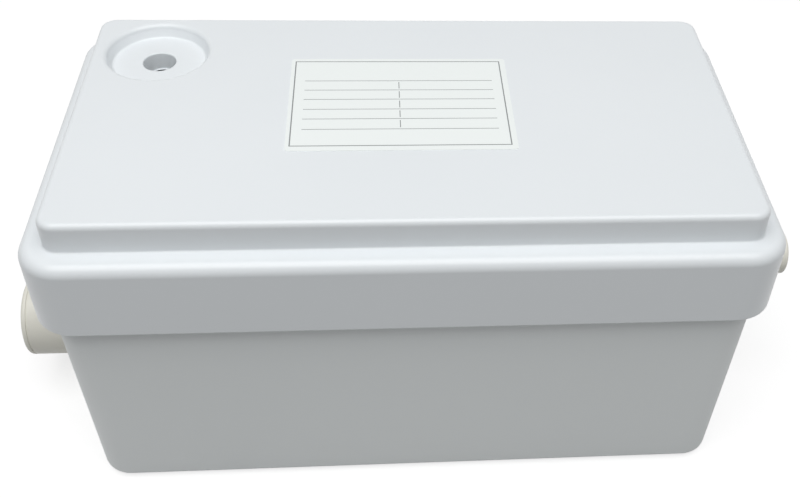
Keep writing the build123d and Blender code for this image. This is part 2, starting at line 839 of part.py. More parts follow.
def nozzle_bar(start_run, end_run, radius, bore=0.0):
    """Round bar or tube on the nozzle's axis."""
    face = Circle(radius)
    if bore:
        face -= Circle(bore)
    plane = Plane(origin=along_nozzle(start_run), x_dir=(0, 0, 1), z_dir=nozzle_forward)
    return extrude(plane * face, end_run - start_run)


def make_discharge_hose():
    corner = along_nozzle(nozzle_run)
    top = (corner[0], corner[1], hose_top)
    path = FilletPolyline(along_nozzle(hose_start_run), corner, top, radius=hose_bend)
    section = Plane(origin=along_nozzle(hose_start_run), x_dir=(0, 0, 1), z_dir=nozzle_forward)
    outside = sweep(section * Circle(hose_outer), path=path)
    inside = sweep(section * Circle(hose_inner), path=path)
    return outside - inside


def make_hose_clamps():
    band = hose_outer + press_gap
    start = hose_start_run + clamp_from_end
    lower = nozzle_bar(start, start + clamp_width, band + clamp_thickness, band)
    middle = along_nozzle(start + clamp_width / 2)
    housing_low = middle[2] + band + clamp_thickness / 2
    housing = Box(clamp_width, clamp_housing_width, clamp_housing_height)
    turned = Rot(0, 0, math.degrees(nozzle_turn)) * housing
    lower += Pos(middle[0], middle[1], housing_low + clamp_housing_height / 2) * turned
    high = hose_top - clamp_from_end
    upper = upright(valve_x, outlet_y, high - clamp_width, high, band + clamp_thickness, band)
    housing_x = valve_x - band - clamp_thickness / 2 - clamp_housing_height / 2
    upper += Pos(housing_x, outlet_y, high - clamp_width / 2) * Box(clamp_housing_height, clamp_housing_width, clamp_width)
    return group([lower, upper])


# Pump: volute, impeller and suction cover

def spiral_face(start_radius, growth, offset=0.0):
    """Spiral of four quarter arcs whose radius grows by one share of the growth at each quarter."""
    step = growth / 4
    centre = Vector(0, 0)
    radius = start_radius + offset
    turn = -90.0 + math.degrees(nozzle_turn)
    edges = []
    for quarter in range(4):
        angle = turn + 90.0 * quarter
        edges.append(CenterArc(centre, radius, angle, 90.0))
        if quarter < 3:
            out = math.radians(angle + 90.0)
            centre = centre - Vector(math.cos(out), math.sin(out)) * step
            radius += step
    closing = Line(edges[-1] @ 1, edges[0] @ 0)
    return make_face(edges + [closing])


def make_volute_casing():
    chamber_start = impeller_radius + cutwater_gap
    chamber = spiral_face(chamber_start, volute_growth)
    skin = spiral_face(chamber_start, volute_growth, volute_wall)
    casing = extrude(Pos(motor_x, motor_y, volute_low) * skin, motor_low - volute_low)
    casing += upright(motor_x, motor_y, volute_low, volute_low + pump_flange_thickness, pump_flange_radius)
    casing += upright(motor_x, motor_y, chamber_top, motor_low, motor_can_radius - can_step)
    casing += nozzle_bar(0.0, nozzle_reach, nozzle_radius)
    casing -= extrude(Pos(motor_x, motor_y, volute_low) * chamber, volute_chamber_height)
    casing -= nozzle_bar(0.0, nozzle_reach, nozzle_bore)
    casing -= upright(motor_x, motor_y, chamber_top, motor_low, seal_radius + press_gap)
    for x, y in pump_screw_points:
        casing -= upright(x, y, volute_low, volute_low + pump_flange_thickness, small_shank + tap_gap)
    for x, y in volute_screw_points:
        casing -= upright(x, y, chamber_top, motor_low, small_shank + tap_gap)
    return casing


def make_suction_cover():
    cover = upright(motor_x, motor_y, suction_low, volute_low, pump_flange_radius)
    cover += upright(motor_x, motor_y, suction_low - suction_lip, suction_low, suction_eye_radius + suction_lip_wall)
    cover -= upright(motor_x, motor_y, suction_low - suction_lip, volute_low, suction_eye_radius)
    for x, y in pump_screw_points:
        cover -= upright(x, y, suction_low, volute_low, small_shank + tap_gap)
    return cover


def make_suction_screws():
    one = Rot(180, 0, 0) * small_screw(suction_plate + pump_flange_thickness)
    return group([Pos(x, y, suction_low) * one for x, y in pump_screw_points])


def make_pump_isolators():
    points = circle_points(motor_x, motor_y, isolator_circle, 4, 45.0)
    return group([upright(x, y, tank_floor_top, suction_low, isolator_radius) for x, y in points])


def make_impeller():
    plate_low = impeller_top - impeller_plate
    impeller = upright(motor_x, motor_y, plate_low, impeller_top, impeller_radius)
    impeller += upright(motor_x, motor_y, impeller_low, plate_low, impeller_hub_radius)
    curve = Pos(vane_curve_offset, 0) * (Circle(vane_curve_radius + vane_thickness / 2)
                                         - Circle(vane_curve_radius - vane_thickness / 2))
    reach = 2 * impeller_radius
    vane = (curve & Circle(impeller_radius)) & (Pos(0, reach / 2) * Rectangle(reach, reach))
    vane = extrude(vane, plate_low - impeller_low)
    for index in range(vane_count):
        impeller += Pos(motor_x, motor_y, impeller_low) * Rot(0, 0, 360.0 * index / vane_count) * vane
    impeller -= upright(motor_x, motor_y, impeller_low, impeller_top, shaft_drive_radius + press_gap)
    return impeller


def make_impeller_nut():
    outline = RegularPolygon(nut_flats / 2, 6, major_radius=False) - Circle(shaft_drive_radius - thread_step + press_gap)
    return extrude(Pos(motor_x, motor_y, impeller_low - nut_height) * outline, nut_height)


def make_seal_seat():
    return upright(motor_x, motor_y, chamber_top, motor_low, seal_radius, shaft_radius + seal_bore_gap)


def make_seal_ring():
    return upright(motor_x, motor_y, impeller_top + seal_face_gap, chamber_top - seal_face_gap,
                   seal_ring_radius, shaft_radius + press_gap)


# Motor

def make_shaft():
    thread_radius = shaft_drive_radius - thread_step
    shaft = upright(motor_x, motor_y, shaft_low, impeller_low, thread_radius)
    shaft += upright(motor_x, motor_y, impeller_low, impeller_top, shaft_drive_radius)
    shaft += upright(motor_x, motor_y, impeller_top, upper_bearing_low, shaft_radius)
    shaft += upright(motor_x, motor_y, upper_bearing_low, shaft_top, shaft_tail_radius)
    return shaft


def make_rotor_core():
    core = upright(motor_x, motor_y, stator_low, stator_top, rotor_radius, shaft_radius + press_gap)
    for low in (stator_low - rotor_ring_height, stator_top):
        core += upright(motor_x, motor_y, low, low + rotor_ring_height, rotor_ring_radius, shaft_radius + press_gap)
    return core


def slot_cut(margin):
    """Ring of closed winding slots, each drawn in by a margin."""
    length = slot_outer - slot_inner - 2 * margin
    middle = (slot_outer + slot_inner) / 2
    one = Pos(middle, 0) * RectangleRounded(length, slot_width - 2 * margin, slot_corner)
    slots = Sketch()
    for index in range(slot_count):
        slots += Rot(0, 0, 360.0 * index / slot_count) * one
    return slots


def make_stator_core():
    face = Circle(motor_can_radius - motor_can_wall - press_gap) - Circle(rotor_radius + air_gap)
    face -= slot_cut(0.0)
    return extrude(Pos(motor_x, motor_y, stator_low) * face, rotor_length)


def make_stator_windings():
    legs_low = stator_low - winding_leg_past
    coil = extrude(Pos(motor_x, motor_y, legs_low) * slot_cut(winding_gap), rotor_length + 2 * winding_leg_past)
    for low in (stator_low - winding_height, stator_top + winding_gap):
        turn = upright(motor_x, motor_y, low, low + winding_height - winding_gap,
                       slot_outer + coil_over_slot, slot_inner - coil_inside_slot)
        edges = turn.edges().group_by(Axis.Z)[0] + turn.edges().group_by(Axis.Z)[-1]
        coil += fillet(edges, coil_round)
    return coil


def make_motor_housing():
    can_top = motor_flange_top
    housing = upright(motor_x, motor_y, motor_low, can_top, motor_can_radius)
    housing += upright(motor_x, motor_y, motor_flange_low, motor_flange_top, motor_flange_radius)
    housing -= upright(motor_x, motor_y, motor_low + motor_floor, can_top, motor_can_radius - motor_can_wall)
    shelf_radius = slot_outer + stator_shelf_margin
    housing += upright(motor_x, motor_y, motor_low + motor_floor, stator_low, motor_can_radius - can_step, shelf_radius)
    pocket_top = lower_bearing_low + bearing_width
    housing += upright(motor_x, motor_y, lower_bearing_low, pocket_top,
                       lower_bearing_radius + motor_can_wall, lower_bearing_radius + press_gap)
    housing -= upright(motor_x, motor_y, motor_low, motor_low + motor_floor, shaft_radius + seal_bore_gap)
    for x, y in volute_screw_points:
        housing -= upright(x, y, motor_low, motor_low + motor_floor, small_shank + tap_gap)
    for x, y in motor_screw_points:
        housing -= upright(x, y, motor_flange_low, motor_flange_top, large_shank + tap_gap)
    return housing


def make_volute_screws():
    one = small_screw(motor_floor + volute_roof - screw_short)
    return group([Pos(x, y, motor_low + motor_floor) * one for x, y in volute_screw_points])


def make_bearing_outer_races():
    races = []
    for low, outer in ((lower_bearing_low, lower_bearing_radius), (upper_bearing_low, upper_bearing_radius)):
        inner_race = inner_race_radius(low)
        race = upright(motor_x, motor_y, low, low + bearing_width, outer, outer - race_thickness)
        for shield_low in (low, low + bearing_width - shield_thickness):
            race += upright(motor_x, motor_y, shield_low, shield_low + shield_thickness,
                            outer - race_thickness, inner_race + slip_gap)
        races.append(race)
    return group(races)


def inner_race_radius(low):
    """Outer radius of the inner race that sits at a height."""
    journal = shaft_radius if low == lower_bearing_low else shaft_tail_radius
    return journal + race_thickness


def make_bearing_inner_races():
    races = []
    for low in (lower_bearing_low, upper_bearing_low):
        outer = inner_race_radius(low)
        races.append(upright(motor_x, motor_y, low, low + bearing_width, outer, outer - race_thickness + press_gap))
    return group(races)


def make_motor_gasket():
    gasket = upright(motor_x, motor_y, deck_top, motor_flange_low, motor_flange_radius, motor_can_radius + slip_gap)
    for x, y in motor_screw_points:
        gasket -= upright(x, y, deck_top, motor_flange_low, large_shank + tap_gap)
    return gasket


def make_motor_cap():
    flange_top = motor_flange_top + motor_flange_thickness
    roof_top = cap_roof_under + motor_cap_wall
    dome_radius = motor_can_radius - motor_cap_inset
    dome = upright(motor_x, motor_y, motor_flange_top, roof_top, dome_radius)
    dome = fillet(dome.edges().group_by(Axis.Z)[-1], 2.0 * motor_cap_wall)
    cap = dome + upright(motor_x, motor_y, motor_flange_top, flange_top, motor_flange_radius)
    hollow = upright(motor_x, motor_y, motor_flange_top, cap_roof_under, dome_radius - motor_cap_wall)
    cap -= fillet(hollow.edges().group_by(Axis.Z)[-1], motor_cap_wall)
    cap += upright(motor_x, motor_y, upper_bearing_low, cap_roof_under + bearing_seat_bite,
                   upper_bearing_radius + bearing_seat_wall)
    cap -= upright(motor_x, motor_y, upper_bearing_low, upper_bearing_low + bearing_width,
                   upper_bearing_radius + press_gap)
    cap -= upright(motor_x, motor_y, upper_bearing_low, cap_roof_under, shaft_tail_radius + shaft_end_room)
    for x, y in motor_screw_points:
        cap -= upright(x, y, motor_flange_top, flange_top, large_shank + tap_gap)
    cap -= lengthwise(motor_x - dome_radius - lead_hole_past, motor_x - dome_radius + 2 * motor_cap_wall, motor_y, motor_lead_z,
                      lead_radius + slip_gap)
    for y in cap_lead_ys:
        cap -= lengthwise(motor_x + dome_radius - 2 * motor_cap_wall, motor_x + dome_radius + lead_hole_past, y, motor_lead_z,
                          lead_radius + slip_gap)
    return cap


def make_motor_screws():
    one = large_screw(2 * motor_flange_thickness + motor_gasket_thickness + deck_thickness + screw_past)
    seat = motor_flange_top + motor_flange_thickness
    return group([Pos(x, y, seat) * one for x, y in motor_screw_points])


# Deck plate, its gasket and screws, and the vent filter

def make_deck_plate():
    deck = slab(deck_half_x, deck_half_y, tank_corner - tank_wall - deck_gap, deck_low, deck_top)
    chimney_radius = filter_radius + filter_gap
    deck += upright(vent_x, vent_y, deck_low, chimney_top, chimney_radius + chimney_wall)
    deck -= upright(vent_x, vent_y, deck_top, chimney_top, chimney_radius)
    deck -= upright(vent_x, vent_y, deck_low, deck_top, filter_radius - chimney_seat)
    riser_y = deck_half_y - clamp_from_back
    deck += block((cord_x - clamp_bar_length / 2, cord_x + clamp_bar_length / 2),
                  (riser_y - clamp_bar_depth / 2, riser_y + clamp_bar_depth / 2), (deck_low + riser_root, cord_z))
    deck -= block((cord_x - cord_bore, cord_x + cord_bore), (riser_y - clamp_bar_depth, riser_y + clamp_bar_depth),
                  (cord_z - cord_bore, cord_z))
    for side in (-1, 1):
        deck -= upright(cord_x + side * clamp_screw_offset, riser_y, cord_z - clamp_screw_bite - screw_past, cord_z,
                        small_shank + tap_gap)
    deck -= upright(motor_x, motor_y, deck_low, deck_top, motor_can_radius + slip_gap)
    deck -= upright(switch_x, switch_y, deck_low, deck_top, bell_radius + slip_gap)
    for x, y in motor_screw_points:
        deck -= upright(x, y, deck_low, deck_top, large_shank + tap_gap)
    for x, y in deck_screw_points + bell_screw_points + clip_screw_points + terminal_screw_points:
        deck -= upright(x, y, deck_low, deck_top, small_shank + tap_gap)
    return deck


def make_deck_gasket():
    inner_edge = ledge_width - deck_gap
    gasket = slab(deck_half_x, deck_half_y, tank_corner - tank_wall - deck_gap, ledge_height, deck_low)
    gasket -= slab(deck_half_x - inner_edge, deck_half_y - inner_edge, tank_corner - tank_wall - ledge_width + ledge_corner_ease,
                   ledge_height, deck_low)
    for x, y in deck_screw_points:
        gasket -= upright(x, y, ledge_height, deck_low, small_shank + tap_gap)
    return gasket


def make_deck_screws():
    return group([Pos(x, y, deck_top) * small_screw(deck_screw_length) for x, y in deck_screw_points])


def make_vent_filter():
    disc = upright(vent_x, vent_y, deck_top, deck_top + filter_height, filter_radius)
    return chamfer(disc.edges().group_by(Axis.Z)[-1], filter_edge)


# Capacitor, terminal block and cord entry

capacitor_x = motor_x + motor_flange_radius + capacitor_gap + clip_foot_reach
capacitor_y = motor_y - capacitor_from_motor_y
capacitor_z = deck_top + clip_thickness + press_gap + capacitor_radius
capacitor_front = capacitor_y - capacitor_length / 2
tab_points = [capacitor_x + side * capacitor_radius / 2 for side in (-1, 1)]
clip_screw_points = [(capacitor_x + side * (clip_foot_reach - clip_screw_inset), capacitor_y) for side in (-1, 1)]
terminal_x = -(deck_half_x - terminal_margin_x)
terminal_y = -(deck_half_y - terminal_margin_y)
terminal_screw_points = [(terminal_x, terminal_y + side * (terminal_length / 2 - terminal_screw_inset))
                         for side in (-1, 1)]
clamp_screw_offset = clamp_bar_length / 2 - clamp_screw_inset
motor_lead_z = motor_flange_top + motor_cap_height / 2
cap_lead_ys = [motor_y, motor_y - lead_pitch]


def make_capacitor():
    can = crosswise(capacitor_x, capacitor_front, capacitor_front + capacitor_length, capacitor_z, capacitor_radius)
    can = fillet(can.edges().filter_by(GeomType.CIRCLE), capacitor_round)
    for x in tab_points:
        can += block((x - tab_width / 2, x + tab_width / 2), (capacitor_front - tab_length, capacitor_front + tab_root),
                     (capacitor_z - tab_thickness / 2, capacitor_z + tab_thickness / 2))
    return can


def make_capacitor_clip():
    start = capacitor_y - clip_width / 2
    end = capacitor_y + clip_width / 2
    inner = capacitor_radius + press_gap
    clip = crosswise(capacitor_x, start, end, capacitor_z, inner + clip_thickness)
    clip += block((capacitor_x - clip_foot_reach, capacitor_x + clip_foot_reach), (start, end),
                  (deck_top, deck_top + clip_thickness))
    clip -= crosswise(capacitor_x, start, end, capacitor_z, inner)
    for x, y in clip_screw_points:
        clip -= upright(x, y, deck_top, deck_top + clip_thickness, small_shank + tap_gap)
    return clip


def terminal_wells():
    """Places of the wire clamps along the terminal block."""
    pitch = (terminal_length - 2 * terminal_end_wall) / terminal_count
    return [terminal_y + pitch * (index - (terminal_count - 1) / 2) for index in range(terminal_count)]


def make_terminal_block():
    top = deck_top + terminal_height
    base_top = deck_top + terminal_base
    half_width = terminal_width / 2
    base = block((terminal_x - half_width, terminal_x + half_width),
                 (terminal_y - terminal_length / 2, terminal_y + terminal_length / 2), (deck_top, base_top))
    tower_half = terminal_length / 2 - terminal_tower_inset
    tower = block((terminal_x - half_width + terminal_edge, terminal_x + half_width - terminal_edge),
                  (terminal_y - tower_half, terminal_y + tower_half), (deck_top, top))
    housing = base + tower
    for y in terminal_wells():
        for side in (-1, 1):
            housing -= upright(terminal_x + side * terminal_width / 4, y, top - grub_height - grub_sunk, top,
                               grub_radius + tap_gap)
        housing -= lengthwise(terminal_x - terminal_width, terminal_x + terminal_width, y, deck_top + terminal_well_rise,
                              lead_radius + tap_gap)
    for x, y in terminal_screw_points:
        housing -= upright(x, y, deck_top, base_top, small_shank + tap_gap)
    return housing


def make_terminal_screws():
    screws = [Pos(x, y, deck_top + terminal_base) * small_screw(deck_thickness + terminal_base)
              for x, y in terminal_screw_points]
    grub_top = deck_top + terminal_height - grub_sunk
    slot_half = grub_radius / 6
    grub = upright(0, 0, grub_top - grub_height, grub_top, grub_radius)
    grub -= block((-grub_radius, grub_radius), (-slot_half, slot_half), (grub_top - grub_height / 3, grub_top))
    for y in terminal_wells():
        for side in (-1, 1):
            screws.append(Pos(terminal_x + side * terminal_width / 4, y, 0) * grub)
    return group(screws)


def make_cord_grommet():
    inner_face = tank_half_y - tank_wall
    start = inner_face - grommet_flange_thickness
    end = half_y - grommet_recess
    outer_flange_end = tank_half_y + grommet_flange_thickness
    grommet = crosswise_square(cord_x, start, end, cord_z, grommet_barrel, grommet_barrel_corner)
    for low, high in ((start, inner_face), (tank_half_y, outer_flange_end)):
        grommet += crosswise_square(cord_x, low, high, cord_z, grommet_flange, grommet_flange_corner)
    grommet = fillet(grommet.edges().group_by(Axis.Y)[-1], grommet_round)
    return grommet - crosswise(cord_x, start, end, cord_z, cord_bore)


def make_cord_clamp():
    riser_y = deck_half_y - clamp_from_back
    low = cord_z + clamp_bar_gap
    high = low + clamp_bar_height
    bar = block((cord_x - clamp_bar_length / 2, cord_x + clamp_bar_length / 2),
                (riser_y - clamp_bar_depth / 2, riser_y + clamp_bar_depth / 2), (cord_z, high))
    bar = fillet(bar.edges().filter_by(Axis.Z), clamp_bar_corner)
    bar -= block((cord_x - cord_bore, cord_x + cord_bore), (riser_y - clamp_bar_depth, riser_y + clamp_bar_depth),
                 (cord_z, cord_z + cord_grip))
    for side in (-1, 1):
        bar -= upright(cord_x + side * clamp_screw_offset, riser_y, cord_z, high, small_shank + tap_gap)
    return bar


def make_clamp_screws():
    """Screws of the capacitor clip and of the cord clamp."""
    clip_screw = small_screw(deck_thickness + clip_thickness)
    screws = [Pos(x, y, deck_top + clip_thickness) * clip_screw for x, y in clip_screw_points]
    riser_y = deck_half_y - clamp_from_back
    seat = cord_z + clamp_bar_gap + clamp_bar_height
    bar_screw = small_screw(clamp_bar_height + clamp_screw_bite)
    screws += [Pos(cord_x + side * clamp_screw_offset, riser_y, seat) * bar_screw for side in (-1, 1)]
    return group(screws)


# Level switch

def make_pressure_bell():
    low = tank_floor_top + bell_foot_rise
    bell = upright(switch_x, switch_y, low, bell_top, bell_radius)
    bell += upright(switch_x, switch_y, deck_top, bell_top, bell_flange_radius)
    bell -= upright(switch_x, switch_y, low, bell_top, bell_radius - bell_wall)
    for x, y in bell_screw_points:
        bell -= upright(x, y, deck_top, bell_top, small_shank + tap_gap)
    return bell


def make_diaphragm_cap():
    cap = upright(switch_x, switch_y, bell_top, switch_cap_top, bell_flange_radius)
    cap = fillet(cap.edges().group_by(Axis.Z)[-1], switch_cap_round)
    cap -= upright(switch_x, switch_y, bell_top, chamber_top_z, chamber_radius)
    cap -= upright(switch_x, switch_y, chamber_top_z, switch_cap_top, rod_radius + slip_gap)
    for x, y in bell_screw_points:
        cap -= upright(x, y, bell_top, switch_cap_top, small_shank + tap_gap)
    for x, y in bracket_foot_points:
        cap -= upright(x, y, chamber_top_z, switch_cap_top, small_shank + tap_gap)
    return cap


def make_diaphragm_screws():
    one = small_screw(switch_cap_top - deck_low)
    return group([Pos(x, y, switch_cap_top) * one for x, y in bell_screw_points])


def make_diaphragm():
    disc = upright(switch_x, switch_y, diaphragm_low, diaphragm_low + diaphragm_thickness, diaphragm_radius)
    bead = upright(switch_x, switch_y, diaphragm_low - bead_height, diaphragm_low, diaphragm_radius,
                   diaphragm_radius - bead_width)
    return disc + bead


def make_push_rod():
    foot = diaphragm_low + diaphragm_thickness
    rod = upright(switch_x, switch_y, foot, rod_top - rod_tip_length, rod_radius)
    rod += upright(switch_x, switch_y, rod_top - rod_tip_length, rod_top, rod_tip_radius)
    return rod + upright(switch_x, switch_y, foot, foot + rod_plate_thickness, rod_plate_radius)


def make_switch_lever():
    end = switch_x + lever_tail
    lever = block((lever_pin_x, end), (switch_y - lever_width / 2, switch_y + lever_width / 2),
                  (lever_low, lever_low + lever_thickness))
    lever += crosswise(lever_pin_x, switch_y - lever_width / 2, switch_y + lever_width / 2, lever_z, lever_hub_radius)
    return lever - crosswise(lever_pin_x, switch_y - lever_width / 2, switch_y + lever_width / 2, lever_z,
                             lever_pin_radius + pin_gap)


def make_lever_pin():
    return crosswise(lever_pin_x, switch_y - lug_outer, switch_y + lug_outer, lever_z, lever_pin_radius)


def make_microswitch():
    x_range = (microswitch_x_low, microswitch_x_low + microswitch_length)
    y_range = (switch_y - lug_outer, switch_y + lug_outer)
    body = block(x_range, y_range, (microswitch_low, microswitch_low + microswitch_height))
    for side in (-1, 1):
        near = switch_y + side * (lug_outer - lever_lug)
        far = switch_y + side * lug_outer
        body += block((lever_pin_x - lug_half, lever_pin_x + lug_half), (min(near, far), max(near, far)),
                      (lever_z - lug_half, microswitch_low + lug_root))
    body -= crosswise(lever_pin_x, switch_y - lug_outer, switch_y + lug_outer, lever_z, lever_pin_radius + press_gap)
    body -= upright(button_x, switch_y, microswitch_low, microswitch_low + button_socket, button_radius + pin_gap)
    for x, z in microswitch_holes:
        body -= crosswise(x, switch_y - lug_outer, switch_y + lug_outer, z, small_shank + tap_gap)
    return body


def make_switch_button():
    high = microswitch_low + button_socket - button_top_gap
    button = upright(button_x, switch_y, button_low, high, button_radius)
    return fillet(button.edges().group_by(Axis.Z)[0], button_round)


bracket_y = switch_y + lug_outer
bracket_foot_points = [(switch_x + side * bracket_foot_screw_side, bracket_y + bracket_foot_screw_reach)
                       for side in (-1, 1)]
microswitch_middle = microswitch_x_low + microswitch_length / 2
microswitch_holes = [(microswitch_middle + side * microswitch_hole_side,
                      microswitch_low + microswitch_height - microswitch_hole_drop)
                     for side in (-1, 1)]


def make_switch_bracket():
    reach = microswitch_hole_side + bracket_edge
    x_low = min(switch_x - bracket_width / 2, microswitch_middle - reach)
    x_high = max(switch_x + bracket_width / 2, microswitch_middle + reach)
    upper = microswitch_low + microswitch_height
    bracket = block((x_low, x_high), (bracket_y, bracket_y + bracket_thickness), (switch_cap_top, upper))
    bracket += block((switch_x - bracket_width / 2, switch_x + bracket_width / 2),
                     (bracket_y, bracket_y + bracket_foot), (switch_cap_top, switch_cap_top + bracket_thickness))
    for x, z in microswitch_holes:
        bracket -= crosswise(x, bracket_y, bracket_y + bracket_thickness, z, small_shank + tap_gap)
    for x, y in bracket_foot_points:
        bracket -= upright(x, y, switch_cap_top, switch_cap_top + bracket_thickness, small_shank + tap_gap)
    return bracket


def make_switch_screws():
    side_screw = Rot(-90, 0, 0) * small_screw(2 * lug_outer)
    screws = [Pos(x, bracket_y + bracket_thickness, z) * side_screw for x, z in microswitch_holes]
    foot_screw = small_screw(bracket_thickness + chamber_roof - screw_short)
    screws += [Pos(x, y, switch_cap_top + bracket_thickness) * foot_screw for x, y in bracket_foot_points]
    return group(screws)


# Leads between the dry parts and the terminal block

def lead(points):
    """Round lead along straight runs joined by the largest arcs that the runs allow."""
    corners = [Vector(*point) for point in points]
    radii = []
    for before, corner, after in zip(corners, corners[1:], corners[2:]):
        turn = math.radians((corner - before).get_angle(after - corner))
        shorter = min((corner - before).length, (after - corner).length)
        radii.append(lead_bend_share * shorter / math.tan(turn / 2))
    path = FilletPolyline(*points, radius=radii)
    section = Plane(origin=corners[0], z_dir=corners[1] - corners[0])
    return sweep(section * Circle(lead_radius), path=path)


def make_internal_leads():
    wells = terminal_wells()
    well_z = deck_top + terminal_well_rise
    block_face = terminal_x + terminal_width / 2
    inside = block_face - lead_in_block
    dome_radius = motor_can_radius - motor_cap_inset
    cap_left = motor_x - dome_radius
    cap_right = motor_x + dome_radius
    lane_y = switch_y + bell_flange_radius + lead_gap
    low_z = deck_top + lead_radius + lead_over_deck
    motor_lead = lead([
        (cap_left + motor_cap_wall / 2, motor_y, motor_lead_z),
        (cap_left - lead_stub, motor_y, motor_lead_z),
        (switch_x, lane_y, low_z),
        (block_face + 2 * lead_stub, lane_y, low_z),
        (block_face + lead_stub, wells[3], well_z),
        (inside, wells[3], well_z),
    ])
    leads = [motor_lead]
    for y, tab_x, lane, row in zip(cap_lead_ys, tab_points, (2, 1), (2, 3)):
        lane_x = cap_right + lane * lead_pitch
        front_y = capacitor_front - tab_length - row * lead_pitch
        leads.append(lead([
            (cap_right - motor_cap_wall / 2, y, motor_lead_z),
            (lane_x, y, motor_lead_z),
            (lane_x, front_y, capacitor_z),
            (tab_x, front_y, capacitor_z),
            (tab_x, capacitor_front - tab_length, capacitor_z),
        ]))
    switch_z = microswitch_low + microswitch_height / 2
    leads.append(lead([
        (microswitch_x_low, switch_y, switch_z),
        (microswitch_x_low - lead_stub, switch_y, switch_z),
        (microswitch_x_low - lead_stub, wells[1], well_z),
        (inside, wells[1], well_z),
    ]))
    return group(leads)


makers = {
    "lid": make_lid,
    "rating_label": make_rating_label,
    "lid_gasket": make_lid_gasket,
    "tank": make_tank,
    "foot_pads": make_foot_pads,
    "inlet_spigot": make_inlet_spigot,
    "inlet_seal": make_inlet_seal,
    "inlet_nut": make_inlet_nut,
    "inlet_flap": make_inlet_flap,
    "outlet_spigot": make_outlet_spigot,
    "outlet_seal": make_outlet_seal,
    "outlet_nut": make_outlet_nut,
    "valve_body": make_valve_body,
    "valve_cap": make_valve_cap,
    "check_flap": make_check_flap,
    "flap_pins": make_flap_pins,
    "discharge_hose": make_discharge_hose,
    "hose_clamps": make_hose_clamps,
    "volute_casing": make_volute_casing,
    "suction_cover": make_suction_cover,
    "suction_screws": make_suction_screws,
    "pump_isolators": make_pump_isolators,
    "impeller": make_impeller,
    "impeller_nut": make_impeller_nut,
    "seal_seat": make_seal_seat,
    "seal_ring": make_seal_ring,
    "shaft": make_shaft,
    "rotor_core": make_rotor_core,
    "stator_core": make_stator_core,
    "stator_windings": make_stator_windings,
    "motor_housing": make_motor_housing,
    "volute_screws": make_volute_screws,
    "bearing_outer_races": make_bearing_outer_races,
    "bearing_inner_races": make_bearing_inner_races,
    "motor_gasket": make_motor_gasket,
    "motor_cap": make_motor_cap,
    "motor_screws": make_motor_screws,
    "deck_plate": make_deck_plate,
    "deck_gasket": make_deck_gasket,
    "deck_screws": make_deck_screws,
    "vent_filter": make_vent_filter,
    "capacitor": make_capacitor,
    "capacitor_clip": make_capacitor_clip,
    "terminal_block": make_terminal_block,
    "terminal_screws": make_terminal_screws,
    "cord_grommet": make_cord_grommet,
    "cord_clamp": make_cord_clamp,
    "clamp_screws": make_clamp_screws,
    "pressure_bell": make_pressure_bell,
    "diaphragm_cap": make_diaphragm_cap,
    "diaphragm_screws": make_diaphragm_screws,
    "diaphragm": make_diaphragm,
    "push_rod": make_push_rod,
    "switch_lever": make_switch_lever,
    "lever_pin": make_lever_pin,
    "microswitch": make_microswitch,
    "switch_button": make_switch_button,
    "switch_bracket": make_switch_bracket,
    "switch_screws": make_switch_screws,
    "internal_leads": make_internal_leads,
}

os.makedirs("parts", exist_ok=True)
for node, maker in makers.items():
    export_step(maker(), f"parts/{node}.step")
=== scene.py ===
"""Dressed scene of a compact waste-water lifting pump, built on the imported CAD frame.

All lengths in the sub-assemblies are in millimetres and are turned into metres when a mesh is made.
"""

import json
import logging
import math
from abc import ABC, abstractmethod
from dataclasses import dataclass
from enum import Enum
from typing import Callable, ClassVar, Iterable, Sequence

import bmesh
import bpy
from mathutils import Matrix, Vector

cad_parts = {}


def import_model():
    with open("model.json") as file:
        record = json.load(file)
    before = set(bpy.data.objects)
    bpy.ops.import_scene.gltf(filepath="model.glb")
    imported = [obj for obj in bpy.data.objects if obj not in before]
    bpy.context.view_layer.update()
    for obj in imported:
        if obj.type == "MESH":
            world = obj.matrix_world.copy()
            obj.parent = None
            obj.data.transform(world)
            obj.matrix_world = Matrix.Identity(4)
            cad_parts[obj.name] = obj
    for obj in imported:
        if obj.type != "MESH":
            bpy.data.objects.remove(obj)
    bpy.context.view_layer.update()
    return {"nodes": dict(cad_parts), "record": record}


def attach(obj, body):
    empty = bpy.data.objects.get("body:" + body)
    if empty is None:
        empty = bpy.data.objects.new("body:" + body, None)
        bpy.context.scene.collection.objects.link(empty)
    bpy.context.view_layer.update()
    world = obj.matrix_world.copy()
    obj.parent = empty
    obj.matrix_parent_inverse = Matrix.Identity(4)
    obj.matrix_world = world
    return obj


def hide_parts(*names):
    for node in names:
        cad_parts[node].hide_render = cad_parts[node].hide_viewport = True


logging.basicConfig(level=logging.INFO, format="%(message)s")
log = logging.getLogger("pump")

Pair = tuple[float, float]
Point = tuple[float, float, float]
Colour = tuple[float, float, float]
Step = tuple[float, float, float]
Edges = list[bmesh.types.BMEdge]
Socket = bpy.types.NodeSocket
Masks = tuple[Socket, Socket, Socket]

MM = 0.001
FLOAT = "NodeSocketFloat"
VECTOR = "NodeSocketVector"

# Linear colour of dust, and how rough a clear coat is.
DUST: Colour = (0.36, 0.34, 0.31)
COAT_ROUGHNESS = 0.12
# Values between which a noise mostly lies.
NOISE_SPREAD: Pair = (0.3, 0.7)
# Rays that look for an edge, and cosines between which a rounded normal fades from worn to plain.
EDGE_RAYS = 6
EDGE_FADE: Pair = (0.93, 0.995)

# Slope of a ring that would be flat, so that its bridge can't turn over.
FALL = 0.1
# How far a cutter, or a bar that is joined on, runs past the face that it meets.
PAST = 1.0
# Distance under which the points of a turned shape are merged.
WELD = 0.002
# Share of a rectangle's straight side over which an edge is that side.
SIDE_SHARE = 0.9


# Shader building blocks

